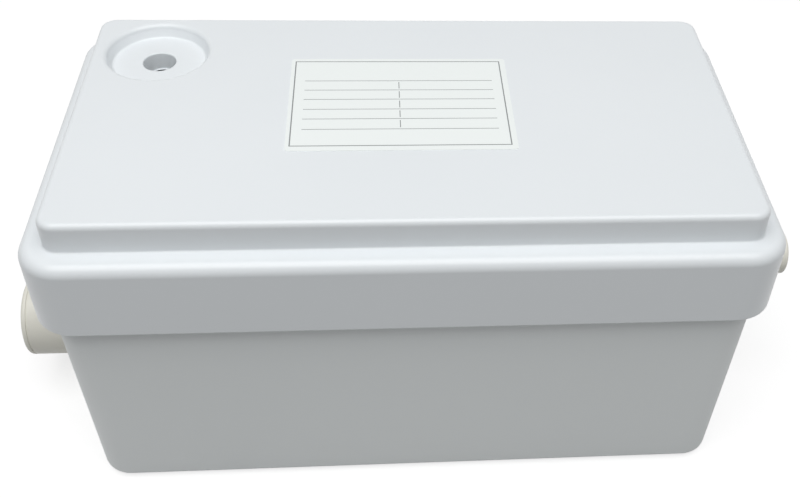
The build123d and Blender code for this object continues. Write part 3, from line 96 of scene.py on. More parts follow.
class Surface(Enum):
    """Families of surface relief that share a node group."""

    MOULDED = "moulded_skin"
    FILLED = "filled_plastic"
    BRUSHED = "brushed_metal"
    CAST = "cast_metal"
    RUBBER = "rubber_skin"
    FOAM = "open_foam"
    STACKED = "stacked_plates"
    WOUND = "wound_wire"


class Tree:
    """Thin wrapper that adds and links nodes in one shader tree."""

    def __init__(self, tree: bpy.types.NodeTree) -> None:
        """Wraps a node tree."""
        self.tree = tree

    @classmethod
    def of(cls, owner: bpy.types.Material | bpy.types.World) -> "Tree":
        """Empties and wraps the node tree of a material or a world.

        Args:
            owner: The material or world.

        Returns:
            The wrapped tree.
        """
        owner.use_nodes = True
        owner.node_tree.nodes.clear()
        return cls(owner.node_tree)

    def add(self, kind: str, inputs: dict | None = None, **settings: object) -> bpy.types.Node:
        """Adds a node.

        Args:
            kind: Blender's node type name.
            inputs: Socket name or index to a constant or to another node's output.
            settings: Attributes of the node itself.

        Returns:
            The new node.
        """
        node = self.tree.nodes.new(kind)
        for name, value in settings.items():
            setattr(node, name, value)
        for name, value in (inputs or {}).items():
            if isinstance(value, Socket):
                self.tree.links.new(value, node.inputs[name])
            else:
                node.inputs[name].default_value = value
        return node

    def math(self, operation: str, *values: Socket | float) -> Socket:
        """Adds a Math node and returns its output."""
        return self.add("ShaderNodeMath", dict(enumerate(values)), operation=operation).outputs[0]

    def blend(self, first: Socket, share: float, second: Socket) -> Socket:
        """Adds up a share of one value and the rest of another."""
        return self.math("ADD", self.math("MULTIPLY", first, share), self.math("MULTIPLY", second, 1.0 - share))

    def noise(self, vector: Socket, scale: float, detail: float, rough: float = 0.5) -> Socket:
        """Adds a 3-D noise and returns its value."""
        inputs = {"Vector": vector, "Scale": scale, "Detail": detail, "Roughness": rough}
        return self.add("ShaderNodeTexNoise", inputs).outputs["Fac"]

    def bump(self, height: Socket, distance: Socket, normal: Socket, strength: float = 1.0) -> Socket:
        """Adds a Bump node and returns its normal."""
        inputs = {"Height": height, "Distance": distance, "Strength": strength, "Normal": normal}
        return self.add("ShaderNodeBump", inputs).outputs["Normal"]

    def span(self, value: Socket, low: float, high: float, to_low: float, to_high: float) -> Socket:
        """Maps a range onto another and clamps it."""
        inputs = {"Value": value, "From Min": low, "From Max": high, "To Min": to_low, "To Max": to_high}
        return self.add("ShaderNodeMapRange", inputs).outputs["Result"]

    def mix(self, factor: Socket, first: Socket | Colour, second: Socket | Colour) -> Socket:
        """Mixes two colours by the share of the second."""
        ends = [value if isinstance(value, Socket) else (*value, 1.0) for value in (first, second)]
        return self.add("ShaderNodeMix", {"Factor": factor, 6: ends[0], 7: ends[1]}, data_type="RGBA").outputs[2]


@dataclass
class Skin:
    """Relief of one family of surfaces, as nodes in its group.

    Args:
        tree: The group's tree.
        vector: Place on the piece.
        depth: Height of the relief.
        normal: Normal that the relief starts from.
    """

    tree: Tree
    vector: Socket
    depth: Socket
    normal: Socket

    def _noise(self, scale: float, detail: float, rough: float = 0.5, stretch: Point = (1.0, 1.0, 1.0)) -> Socket:
        """Adds a noise on the piece, with its pattern stretched unevenly, and returns its value."""
        vector = self.tree.add("ShaderNodeMapping", {"Vector": self.vector, "Scale": stretch}).outputs["Vector"]
        return self.tree.noise(vector, scale, detail, rough)

    def _cells(self, scale: float, low: float, high: float, to_low: float, to_high: float) -> Socket:
        """Adds round cells and returns their distance, mapped onto another range."""
        cells = self.tree.add("ShaderNodeTexVoronoi", {"Vector": self.vector, "Scale": scale})
        return self.tree.span(cells.outputs["Distance"], low, high, to_low, to_high)

    def _bands(self, direction: str, inputs: dict[str, float]) -> Socket:
        """Adds parallel bands and returns their value."""
        return self.tree.add("ShaderNodeTexWave", {"Vector": self.vector, **inputs},
                             bands_direction=direction).outputs["Fac"]

    def _bump(self, height: Socket) -> Socket:
        """Adds the relief over the starting normal and returns the new one."""
        return self.tree.bump(height, self.depth, self.normal)

    def moulded(self) -> Masks:
        """Makes fine spark-eroded grain over slow sink marks and flow clouds.

        Returns:
            Shade mask, dryness mask and normal.
        """
        grain = self._noise(1700.0, 3.0)
        clouds = self._noise(9.0, 4.0, 0.6)
        slow = self.tree.bump(self._noise(21.0, 2.0), self.tree.math("MULTIPLY", self.depth, 30.0), self.normal, 0.5)
        return clouds, self.tree.blend(grain, 0.35, clouds), self.tree.bump(grain, self.depth, slow)

    def filled(self) -> Masks:
        """Makes short pale fibres in a dry, slightly rough plastic.

        Returns:
            Shade mask, dryness mask and normal.
        """
        fibres = self._noise(2600.0, 2.0, stretch=(1.0, 0.35, 1.0))
        patches = self._noise(38.0, 4.0, 0.6)
        flecks = self.tree.span(fibres, 0.62, 0.72, 0.0, 1.0)
        return self.tree.blend(patches, 0.7, flecks), patches, self._bump(fibres)

    def brushed(self) -> Masks:
        """Makes long fine scratches along one axis, with broader bands of polish.

        Returns:
            Shade mask, dryness mask and normal.
        """
        lines = self._noise(2200.0, 3.0, stretch=(1.0, 1.0, 0.03))
        bands = self._noise(190.0, 3.0, stretch=(1.0, 1.0, 0.1))
        smears = self._noise(60.0, 4.0, 0.65)
        return self.tree.blend(bands, 0.5, smears), self.tree.blend(lines, 0.6, smears), self._bump(lines)

    def cast(self) -> Masks:
        """Makes a pebbled cast skin with small pores.

        Returns:
            Shade mask, dryness mask and normal.
        """
        pebbles = self._noise(900.0, 4.0, 0.6)
        pores = self._cells(420.0, 0.0, 0.22, 0.0, 1.0)
        stains = self._noise(45.0, 5.0, 0.65)
        height = self.tree.math("ADD", pebbles, self.tree.math("MULTIPLY", pores, 0.4))
        return stains, self.tree.blend(pebbles, 0.5, stains), self._bump(height)

    def rubber(self) -> Masks:
        """Makes dull rubber with a talc bloom and fine wrinkles.

        Returns:
            Shade mask, dryness mask and normal.
        """
        wrinkles = self._noise(1300.0, 5.0, 0.7)
        bloom = self._noise(70.0, 5.0, 0.65)
        return self.tree.span(bloom, 0.35, 0.75, 0.0, 1.0), bloom, self._bump(wrinkles)

    def foam(self) -> Masks:
        """Makes open cells whose sunk throats are darkened in colour as painted shade.

        Returns:
            Shade mask, dryness mask and normal.
        """
        throats = self._cells(950.0, 0.1, 0.55, 1.0, 0.0)
        dust = self._noise(160.0, 4.0)
        # Painted shade: the colour darkens towards the middle of each throat, where the bump sinks it.
        shade = self.tree.math("MULTIPLY", self.tree.math("SUBTRACT", 1.0, throats), dust)
        sunk = self.tree.math("MULTIPLY", self.depth, -1.0)
        return shade, dust, self.tree.bump(throats, sunk, self.normal)

    def stacked(self) -> Masks:
        """Makes half-millimetre steel sheets stacked along Z, with oxide staining.

        Returns:
            Shade mask, dryness mask and normal.
        """
        sheets = self._bands("Z", {"Scale": 318.0, "Distortion": 0.3, "Detail": 1.0})
        stain = self._noise(120.0, 4.0, 0.6, (1.0, 1.0, 6.0))
        sum_ = self.tree.math("ADD", self.tree.math("MULTIPLY", sheets, 0.6), stain)
        return self.tree.math("MULTIPLY", sum_, 0.62), stain, self._bump(sheets)

    def wound(self) -> Masks:
        """Makes enamelled wire turns that lie side by side under varnish.

        Returns:
            Shade mask, dryness mask and normal.
        """
        turns = self._bands("DIAGONAL", {"Scale": 230.0, "Distortion": 2.2, "Detail": 2.0, "Detail Scale": 0.6})
        varnish = self._noise(150.0, 4.0, 0.6)
        return self.tree.blend(turns, 0.6, varnish), varnish, self._bump(turns)


RELIEFS: dict[Surface, Callable[[Skin], Masks]] = {
    Surface.MOULDED: Skin.moulded,
    Surface.FILLED: Skin.filled,
    Surface.BRUSHED: Skin.brushed,
    Surface.CAST: Skin.cast,
    Surface.RUBBER: Skin.rubber,
    Surface.FOAM: Skin.foam,
    Surface.STACKED: Skin.stacked,
    Surface.WOUND: Skin.wound,
}


def rounded_edges(tree: Tree, radius: Socket) -> tuple[Socket, Socket]:
    """Rounds sharp edges in the shading.

    Args:
        tree: The group's tree.
        radius: Radius of the rounding.

    Returns:
        Mask of where the edges are, and the rounded normal.
    """
    rounded = tree.add("ShaderNodeBevel", {"Radius": radius}, samples=EDGE_RAYS).outputs["Normal"]
    flat = tree.add("ShaderNodeNewGeometry").outputs["Normal"]
    dot = tree.add("ShaderNodeVectorMath", {0: rounded, 1: flat}, operation="DOT_PRODUCT").outputs["Value"]
    return tree.span(dot, *EDGE_FADE, 1.0, 0.0), rounded


def settled_dust(tree: Tree, vector: Socket) -> tuple[Socket]:
    """Lays patchy dust on faces that look up.

    Args:
        tree: The group's tree.
        vector: Place on the piece.

    Returns:
        Mask of the dust.
    """
    normal = tree.add("ShaderNodeNewGeometry").outputs["Normal"]
    up = tree.add("ShaderNodeSeparateXYZ", {0: normal}).outputs["Z"]
    film = tree.noise(vector, 55.0, 6.0, 0.7)
    return tree.math("MULTIPLY", tree.span(up, 0.6, 1.0, 0.0, 1.0), tree.span(film, 0.4, 0.8, 0.0, 1.0)),


class EffectLibrary:
    """Makes each shared node group once.

    A group puts out only masks, values and normals that vary over the surface.
    """

    def __init__(self) -> None:
        """Starts without groups."""
        self._groups: dict[str, bpy.types.NodeTree] = {}

    def _shared(self, name: str, inputs: dict[str, str], outputs: dict[str, str],
                fill: Callable[..., tuple]) -> bpy.types.NodeTree:
        """Returns a group, and makes it at its first use.

        Args:
            name: The group's name.
            inputs: Type of each named input.
            outputs: Type of each named output.
            fill: Adds the nodes to the tree, given the inputs, and returns what the outputs get.

        Returns:
            The group.
        """
        if name not in self._groups:
            group = self._groups[name] = bpy.data.node_groups.new(name, "ShaderNodeTree")
            for side, sockets in (("INPUT", inputs), ("OUTPUT", outputs)):
                for label, kind in sockets.items():
                    group.interface.new_socket(name=label, in_out=side, socket_type=kind)
            tree = Tree(group)
            start, end = tree.add("NodeGroupInput"), tree.add("NodeGroupOutput")
            for label, made in zip(outputs, fill(tree, *(start.outputs[item] for item in inputs))):
                group.links.new(made, end.inputs[label])
        return self._groups[name]

    def edges(self) -> bpy.types.NodeTree:
        """Group that rounds sharp edges and masks where they are."""
        return self._shared("edge_rounding", {"Radius": FLOAT}, {"Edge": FLOAT, "Normal": VECTOR}, rounded_edges)

    def relief(self, surface: Surface) -> bpy.types.NodeTree:
        """Group with one family's relief, shade mask and dryness mask.

        Args:
            surface: The family.

        Returns:
            The group.
        """
        return self._shared(surface.value, {"Vector": VECTOR, "Depth": FLOAT, "Normal": VECTOR},
                            {"Shade": FLOAT, "Dryness": FLOAT, "Normal": VECTOR},
                            lambda *given: RELIEFS[surface](Skin(*given)))

    def dust(self) -> bpy.types.NodeTree:
        """Group that masks dust lying on faces that look up."""
        return self._shared("settled_dust", {"Vector": VECTOR}, {"Dust": FLOAT}, settled_dust)


@dataclass(frozen=True)
class Finish:
    """One material: its two colours, gloss range and relief.

    Args:
        name: Material name.
        surface: Family of relief.
        low: Linear colour where the shade mask is dark.
        high: Linear colour where the shade mask is bright.
        rough: Lowest and highest roughness.
        depth: Height of the relief in millimetres.
        metallic: Principled metallic value.
        edge: Linear colour that worn edges tend to.
        wear: How far worn edges go to that colour.
        round: Radius in millimetres that the shader gives sharp edges.
        coat: Clear coat weight.
        dust: Share of dust on faces that look up.
    """

    name: str
    surface: Surface
    low: Colour
    high: Colour
    rough: Pair
    depth: float
    metallic: float = 0.0
    edge: Colour = (0.9, 0.9, 0.9)
    wear: float = 0.0
    round: float = 0.25
    coat: float = 0.0
    dust: float = 0.0


class MaterialLibrary:
    """Builds each finish once, on object coordinates."""

    def __init__(self, effects: EffectLibrary) -> None:
        """Starts without materials."""
        self.effects = effects
        self._made: dict[str, bpy.types.Material] = {}

    def get(self, slot: str) -> bpy.types.Material:
        """Returns the material of a finish, and builds it at its first use.

        Args:
            slot: Material slot, which names the finish.

        Returns:
            The material.
        """
        if slot not in self._made:
            self._made[slot] = self._build(FINISHES[slot])
        return self._made[slot]

    def _build(self, finish: Finish) -> bpy.types.Material:
        """Builds a material.

        Args:
            finish: What it looks like.

        Returns:
            The new material.
        """
        material = bpy.data.materials.new(finish.name)
        tree = Tree.of(material)
        vector = tree.add("ShaderNodeTexCoord").outputs["Object"]
        edges = tree.add("ShaderNodeGroup", {"Radius": finish.round * MM}, node_tree=self.effects.edges())
        given = {"Vector": vector, "Depth": finish.depth * MM, "Normal": edges.outputs["Normal"]}
        relief = tree.add("ShaderNodeGroup", given, node_tree=self.effects.relief(finish.surface))
        colour = tree.mix(relief.outputs["Shade"], finish.low, finish.high)
        if finish.wear:
            colour = tree.mix(tree.math("MULTIPLY", edges.outputs["Edge"], finish.wear), colour, finish.edge)
        if finish.dust:
            dust = tree.add("ShaderNodeGroup", {"Vector": vector}, node_tree=self.effects.dust())
            colour = tree.mix(tree.math("MULTIPLY", dust.outputs["Dust"], finish.dust), colour, DUST)
        shader = tree.add("ShaderNodeBsdfPrincipled", {
            "Base Color": colour,
            "Metallic": finish.metallic,
            "Roughness": tree.span(relief.outputs["Dryness"], *NOISE_SPREAD, *finish.rough),
            "Normal": relief.outputs["Normal"],
            "Coat Weight": finish.coat,
            "Coat Roughness": COAT_ROUGHNESS,
        })
        tree.add("ShaderNodeOutputMaterial", {"Surface": shader.outputs["BSDF"]})
        return material


FINISHES: dict[str, Finish] = {
    "lid_plastic": Finish("glossy_white", Surface.MOULDED, (0.775, 0.812, 0.835), (0.815, 0.848, 0.87), (0.30, 0.40),
                          0.0012, edge=(0.86, 0.89, 0.905), wear=0.2, round=0.3, coat=0.12),
    "tank_plastic": Finish("satin_grey_white", Surface.MOULDED, (0.80, 0.835, 0.84), (0.85, 0.885, 0.887),
                           (0.38, 0.55), 0.003, edge=(0.88, 0.90, 0.905), wear=0.2, round=0.4),
    "connector_plastic": Finish("satin_cream", Surface.MOULDED, (0.835, 0.82, 0.735), (0.885, 0.87, 0.79),
                                (0.34, 0.5), 0.0025, edge=(0.92, 0.905, 0.85), wear=0.25, round=0.3),
    "label_film": Finish("label_film", Surface.MOULDED, (0.86, 0.90, 0.89), (0.89, 0.93, 0.915), (0.3, 0.4),
                         0.0008, round=0.05),
    "label_ink": Finish("label_ink", Surface.MOULDED, (0.20, 0.215, 0.22), (0.27, 0.285, 0.29), (0.38, 0.48),
                        0.0006, round=0.05),
    "black_rubber": Finish("black_rubber", Surface.RUBBER, (0.018, 0.018, 0.019), (0.055, 0.055, 0.056),
                           (0.62, 0.85), 0.006, edge=(0.11, 0.11, 0.11), wear=0.4),
    "grey_rubber": Finish("grey_rubber", Surface.RUBBER, (0.16, 0.165, 0.17), (0.25, 0.255, 0.26), (0.6, 0.85),
                          0.006, edge=(0.35, 0.35, 0.35), wear=0.4),
    "dark_plastic": Finish("dark_plastic", Surface.MOULDED, (0.030, 0.032, 0.035), (0.050, 0.052, 0.056),
                           (0.36, 0.52), 0.004, edge=(0.16, 0.16, 0.17), wear=0.5, dust=0.15),
    "deck_plastic": Finish("deck_plastic", Surface.MOULDED, (0.22, 0.24, 0.262), (0.27, 0.29, 0.312), (0.42, 0.58),
                           0.005, edge=(0.45, 0.47, 0.49), wear=0.5, dust=0.12),
    "carbon": Finish("carbon_foam", Surface.FOAM, (0.006, 0.006, 0.007), (0.06, 0.06, 0.06), (0.8, 0.95), 0.5,
                     round=0.6),
    "stainless": Finish("stainless", Surface.BRUSHED, (0.50, 0.50, 0.49), (0.63, 0.63, 0.62), (0.22, 0.40), 0.0012,
                        metallic=1.0, edge=(0.78, 0.78, 0.77), wear=0.5),
    "zinc_screw": Finish("bright_zinc", Surface.CAST, (0.54, 0.55, 0.56), (0.68, 0.69, 0.70), (0.24, 0.42), 0.002,
                         metallic=1.0, edge=(0.82, 0.82, 0.82), wear=0.5, round=0.15),
    "lamination": Finish("lamination", Surface.STACKED, (0.12, 0.118, 0.116), (0.36, 0.36, 0.355), (0.36, 0.55),
                         0.06, metallic=1.0, edge=(0.5, 0.5, 0.5), wear=0.4, round=0.15),
    "copper": Finish("enamelled_copper", Surface.WOUND, (0.26, 0.085, 0.035), (0.62, 0.25, 0.10), (0.22, 0.40),
                     0.22, metallic=0.85, coat=0.4, round=0.5),
    "cast_aluminium": Finish("cast_aluminium", Surface.CAST, (0.44, 0.445, 0.45), (0.60, 0.605, 0.61), (0.40, 0.58),
                             0.02, metallic=1.0, edge=(0.8, 0.8, 0.8), wear=0.6, round=0.5),
    "pump_plastic": Finish("glass_filled", Surface.FILLED, (0.035, 0.038, 0.042), (0.085, 0.09, 0.097),
                           (0.42, 0.62), 0.006, edge=(0.2, 0.2, 0.21), wear=0.5, round=0.4),
    "ceramic": Finish("ground_ceramic", Surface.MOULDED, (0.68, 0.66, 0.58), (0.78, 0.76, 0.69), (0.18, 0.32),
                      0.001),
    "capacitor_shell": Finish("capacitor_shell", Surface.MOULDED, (0.60, 0.61, 0.61), (0.70, 0.71, 0.71),
                              (0.30, 0.45), 0.003, edge=(0.8, 0.8, 0.8), wear=0.3, round=0.4),
    "switch_plastic": Finish("switch_red", Surface.MOULDED, (0.30, 0.022, 0.016), (0.40, 0.035, 0.025),
                             (0.30, 0.42), 0.002, edge=(0.5, 0.15, 0.12), wear=0.3),
    "lead_jacket": Finish("lead_jacket", Surface.RUBBER, (0.022, 0.055, 0.22), (0.045, 0.095, 0.32), (0.38, 0.55),
                          0.003, edge=(0.1, 0.16, 0.4), wear=0.2),
}


# Mesh building blocks

class Axis(Enum):
    """Directions that a turned piece's axis can point in."""

    X = (1.0, 0.0, 0.0)
    Y = (0.0, 1.0, 0.0)
    Z = (0.0, 0.0, 1.0)


def quarter(start: Pair, end: Pair, count: int, level: bool = False) -> list[Pair]:
    """Lists the points of a quarter round.

    Args:
        start: First point.
        end: Last point.
        count: Segments.
        level: Whether the round leaves along the first coordinate, and not along the second.

    Returns:
        The points, with both ends.
    """
    points = []
    for index in range(count + 1):
        angle = math.pi / 2 * index / count
        shares = (1 - math.cos(angle), math.sin(angle))
        along, across = reversed(shares) if level else shares
        points.append((start[0] + (end[0] - start[0]) * along, start[1] + (end[1] - start[1]) * across))
    return points


def mirrored(x: float, y: float) -> list[Pair]:
    """Lists the four points that lie x and y to either side of the middle."""
    return [(side * x, end * y) for side in (-1, 1) for end in (-1, 1)]


def link(name: str, data: bpy.types.ID) -> bpy.types.Object:
    """Puts a mesh, a lamp or a camera into the scene.

    Args:
        name: The object's name.
        data: What it shows.

    Returns:
        The new object.
    """
    made = bpy.data.objects.new(name, data)
    bpy.context.scene.collection.objects.link(made)
    return made


class Form:
    """A mesh in the making, in millimetres."""

    def __init__(self) -> None:
        """Starts an empty form."""
        self.bm = bmesh.new()

    def sheet(self, half: Pair, height: float) -> list[bmesh.types.BMVert]:
        """Adds a flat rectangle.

        Args:
            half: Half length and half depth.
            height: Z of the rectangle.

        Returns:
            Its vertices.
        """
        verts = bmesh.ops.create_grid(self.bm, x_segments=1, y_segments=1, size=1.0)["verts"]
        reach = abs(verts[0].co.x)
        bmesh.ops.scale(self.bm, verts=verts, vec=(half[0] / reach, half[1] / reach, 1.0))
        bmesh.ops.translate(self.bm, verts=verts, vec=(0.0, 0.0, height))
        return verts

    def outline(self, half: Pair, corner: float, height: float, arc: int = 10,
                cuts: tuple[int, int] = (11, 7)) -> Edges:
        """Adds a rounded rectangle of edges.

        Args:
            half: Half length and half depth.
            corner: Corner radius.
            height: Z of the outline.
            arc: Segments in each corner.
            cuts: Cuts in the sides along X and in the sides along Y.

        Returns:
            The outline's edges.
        """
        old_faces, old_edges = set(self.bm.faces), set(self.bm.edges)
        bmesh.ops.bevel(self.bm, geom=self.sheet(half, height), offset=corner, offset_type="OFFSET",
                        affect="VERTICES", segments=arc, profile=0.5, material=-1)
        bmesh.ops.dissolve_faces(self.bm, faces=[face for face in self.bm.faces if face not in old_faces])
        face = next(item for item in self.bm.faces if item not in old_faces)
        edges = list(face.edges)
        bmesh.ops.delete(self.bm, geom=[face], context="FACES_ONLY")
        for along, count in enumerate(cuts):
            straight = 2 * SIDE_SHARE * (half[along] - corner)
            sides = [edge for edge in edges if abs(edge.verts[0].co[along] - edge.verts[1].co[along]) > straight]
            if count:
                bmesh.ops.subdivide_edges(self.bm, edges=sides, cuts=count)
                edges = [edge for edge in self.bm.edges if edge not in old_edges]
        return edges

    def outlines(self, half: Pair, steps: Sequence[Step]) -> list[Edges]:
        """Adds an outline for each step of inset, corner radius and height, and returns their edges."""
        return [self.outline((half[0] - inset, half[1] - inset), corner, height) for inset, corner, height in steps]

    def circle(self, radius: float, centre: Pair, height: float, count: int = 96) -> Edges:
        """Adds a circle of edges.

        Args:
            radius: Its radius.
            centre: X and Y of its middle.
            height: Z of the circle.
            count: Segments.

        Returns:
            The circle's edges.
        """
        place = Matrix.Translation((*centre, height))
        made = bmesh.ops.create_circle(self.bm, cap_ends=False, radius=radius, segments=count, matrix=place)["verts"]
        return list({edge for vert in made for edge in vert.link_edges})

    def chain(self, loops: Sequence[Edges]) -> None:
        """Bridges each loop to the next."""
        for first, second in zip(loops, loops[1:]):
            bmesh.ops.bridge_loops(self.bm, edges=first + second)

    def fill(self, *loops: Edges) -> None:
        """Fills the area inside one loop, or between loops, that lie in a plane."""
        edges = [edge for loop in loops for edge in loop]
        bmesh.ops.triangle_fill(self.bm, use_beauty=True, use_dissolve=False, edges=edges)

    def turned(self, profile: Sequence[Pair], axis: Axis, centre: Point, steps: int = 72) -> None:
        """Spins a closed profile once round an axis.

        Args:
            profile: Pairs of distance along the axis and radius, as a list. A side on the axis itself is left open.
            axis: Direction of the axis.
            centre: A point on the axis, where the distance is nought.
            steps: Segments round the axis.
        """
        before = set(self.bm.verts)
        along = Vector(axis.value)
        out = Vector(Axis.X.value if axis is Axis.Z else Axis.Z.value)
        verts = [self.bm.verts.new(Vector(centre) + along * run + out * radius) for run, radius in profile]
        ends = zip(profile, profile[1:] + profile[:1])
        edges = [self.bm.edges.new(pair) for pair, (first, second) in zip(zip(verts, verts[1:] + verts[:1]), ends)
                 if first[1] or second[1]]
        bmesh.ops.spin(self.bm, geom=verts + edges, cent=centre, axis=along, angle=2 * math.pi, steps=steps,
                       use_merge=True)
        made = [vert for vert in self.bm.verts if vert not in before]
        bmesh.ops.remove_doubles(self.bm, verts=made, dist=WELD)

    def rod(self, start: float, end: float, radius: float, axis: Axis, centre: Point, steps: int = 48) -> None:
        """Adds a closed round bar.

        Args:
            start: Distance of its low end from the centre.
            end: Distance of its high end from the centre.
            radius: Its radius.
            axis: Its direction.
            centre: A point on its axis.
            steps: Segments round it.
        """
        along = Vector(axis.value)
        turn = Vector(Axis.Z.value).rotation_difference(along).to_matrix().to_4x4()
        place = Matrix.Translation(Vector(centre) + along * (start + end) / 2) @ turn
        bmesh.ops.create_cone(self.bm, cap_ends=True, segments=steps, radius1=radius, radius2=radius,
                              depth=end - start, matrix=place)

    def bar(self, low: Point, high: Point, edge: float = 0.0) -> None:
        """Adds a closed block.

        Args:
            low: Its low corner.
            high: Its high corner.
            edge: Radius of its edges, or 0.
        """
        place = Matrix.Translation((Vector(low) + Vector(high)) / 2)
        place @= Matrix.Diagonal((*(Vector(high) - Vector(low)), 1.0))
        made = bmesh.ops.create_cube(self.bm, size=1.0, matrix=place)["verts"]
        if edge:
            edges = list({item for vert in made for item in vert.link_edges})
            bmesh.ops.bevel(self.bm, geom=edges, offset=edge, offset_type="OFFSET", affect="EDGES", segments=3,
                            profile=0.5, material=-1)

    def mesh(self, name: str) -> bpy.types.Mesh:
        """Turns the form into a mesh in metres, faces outwards, and frees it.

        Args:
            name: The mesh's name.

        Returns:
            The new mesh.
        """
        bmesh.ops.recalc_face_normals(self.bm, faces=self.bm.faces)
        bmesh.ops.scale(self.bm, verts=self.bm.verts, vec=(MM, MM, MM))
        mesh = bpy.data.meshes.new(name)
        self.bm.to_mesh(mesh)
        self.bm.free()
        return mesh


def carve(base: bpy.types.Mesh, tools: Iterable[tuple[str, Form]]) -> bpy.types.Mesh:
    """Cuts and joins closed meshes with exact Booleans, in order, and leaves no helper object behind.

    Args:
        base: Closed mesh to work on.
        tools: Pairs of operation and closed form.

    Returns:
        The carved mesh, under the base's name.
    """
    name = base.name
    holder = link("carving", base)
    helpers = []
    for operation, form in tools:
        helpers.append(link("cutter", form.mesh("cutter")))
        modifier = holder.modifiers.new("cut", "BOOLEAN")
        modifier.operation = operation
        modifier.solver = "EXACT"
        modifier.use_self = False
        modifier.object = helpers[-1]
    bpy.context.view_layer.update()
    carved = bpy.data.meshes.new_from_object(holder.evaluated_get(bpy.context.evaluated_depsgraph_get()))
    for item in [holder, *helpers]:
        mesh = item.data
        bpy.data.objects.remove(item)
        bpy.data.meshes.remove(mesh)
    carved.name = name
    return carved


# Camera, light and backdrop

@dataclass(frozen=True)
class PhotoCamera:
    """The photograph's camera, fitted on the lid, the tank and the ports.

    Args:
        eye: Place in millimetres over the floor.
        forward: Viewing direction.
        up: Direction of the picture's top.
        focal_px: Focal length in pixels.
        centre_px: Where the axis meets the picture.
        frame_px: Size of the picture.
        sensor: Width of the sensor in millimetres.
        clip: Nearest and farthest distance in millimetres that it sees.
    """

    eye: Point = (-11.71, -368.19, 407.34)
    forward: Point = (0.0939, 0.7277, -0.6794)
    up: Point = (0.0177, 0.6811, 0.7319)
    focal_px: float = 1069.4
    centre_px: Pair = (484.95, 255.95)
    frame_px: Pair = (800.0, 498.0)
    sensor: float = 36.0
    clip: Pair = (10.0, 30000.0)

    def build(self) -> None:
        """Creates the camera and makes it the scene's own."""
        width, height = self.frame_px
        data = bpy.data.cameras.new("photo_camera")
        data.sensor_fit = "HORIZONTAL"
        data.sensor_width = self.sensor
        data.lens = self.sensor * self.focal_px / width
        data.shift_x = (width / 2 - self.centre_px[0]) / width
        data.shift_y = (self.centre_px[1] - height / 2) / width
        data.clip_start, data.clip_end = (distance * MM for distance in self.clip)
        back = -Vector(self.forward).normalized()
        right = Vector(self.up).cross(back).normalized()
        axes = Matrix((right, back.cross(right), back)).transposed().to_4x4()
        camera = link("photo_camera", data)
        camera.matrix_world = Matrix.Translation(Vector(self.eye) * MM) @ axes
        bpy.context.scene.camera = camera


@dataclass(frozen=True)
class Studio:
    """Soft overhead light, pale floor and white surroundings.

    Args:
        sky: Strength of the surroundings as a light.
        panel_watts: Power of the overhead panel.
        panel_size: Its length and depth in millimetres.
        panel_place: Its middle in millimetres.
        panel_aim: Point that it faces, in millimetres.
        floor_reach: How far the floor goes from the middle, in millimetres.
        floor_albedo: Grey of the floor as a surface.
        floor_lift: Light that camera and mirror rays add on the floor to make it white.
    """

    sky: float = 0.20
    panel_watts: float = 16.5
    panel_size: Pair = (1500.0, 1100.0)
    panel_place: Point = (-60.0, -330.0, 1350.0)
    panel_aim: Point = (0.0, 0.0, 80.0)
    floor_reach: float = 4000.0
    floor_albedo: float = 0.40
    floor_lift: float = 0.73

    def build(self) -> None:
        """Adds the world, the panel and the floor."""
        bpy.context.scene.view_settings.view_transform = "Standard"
        self._world()
        self._panel()
        self._floor()

    @staticmethod
    def _seen(tree: Tree) -> Socket:
        """Masks the rays that see a background.

        Args:
            tree: Tree of the world or of a material.

        Returns:
            One for camera, mirror and glass rays, and nought for others.
        """
        path = tree.add("ShaderNodeLightPath").outputs
        seen = tree.math("MAXIMUM", path["Is Camera Ray"], path["Is Glossy Ray"])
        return tree.math("MAXIMUM", seen, path["Is Transmission Ray"])

    def _world(self) -> None:
        """Adds surroundings that look white and light the scene softly."""
        world = bpy.context.scene.world = bpy.data.worlds.new("studio")
        tree = Tree.of(world)
        strength = tree.span(self._seen(tree), 0.0, 1.0, self.sky, 1.0)
        shader = tree.add("ShaderNodeBackground", {"Color": (1.0, 1.0, 1.0, 1.0), "Strength": strength})
        tree.add("ShaderNodeOutputWorld", {"Surface": shader.outputs[0]})

    def _panel(self) -> None:
        """Adds the overhead panel light."""
        data = bpy.data.lights.new("panel", "AREA")
        data.shape = "RECTANGLE"
        data.size, data.size_y = (side * MM for side in self.panel_size)
        data.energy = self.panel_watts
        place = Vector(self.panel_place) * MM
        aim = Vector(self.panel_aim) * MM - place
        turn = aim.to_track_quat("-Z", "Y").to_matrix().to_4x4()
        link("panel", data).matrix_world = Matrix.Translation(place) @ turn

    def _floor(self) -> None:
        """Adds a floor that looks white and keeps the object's shadow."""
        form = Form()
        form.sheet((self.floor_reach, self.floor_reach), 0.0)
        floor = link("floor", form.mesh("floor"))
        material = bpy.data.materials.new("pale_floor")
        tree = Tree.of(material)
        grey = self.floor_albedo
        surface = tree.add("ShaderNodeBsdfDiffuse", {"Color": (grey, grey, grey, 1.0)})
        lift = tree.add("ShaderNodeEmission", {"Strength": tree.math("MULTIPLY", self._seen(tree), self.floor_lift)})
        both = tree.add("ShaderNodeAddShader", {0: surface.outputs[0], 1: lift.outputs[0]})
        tree.add("ShaderNodeOutputMaterial", {"Surface": both.outputs[0]})
        floor.data.materials.append(material)


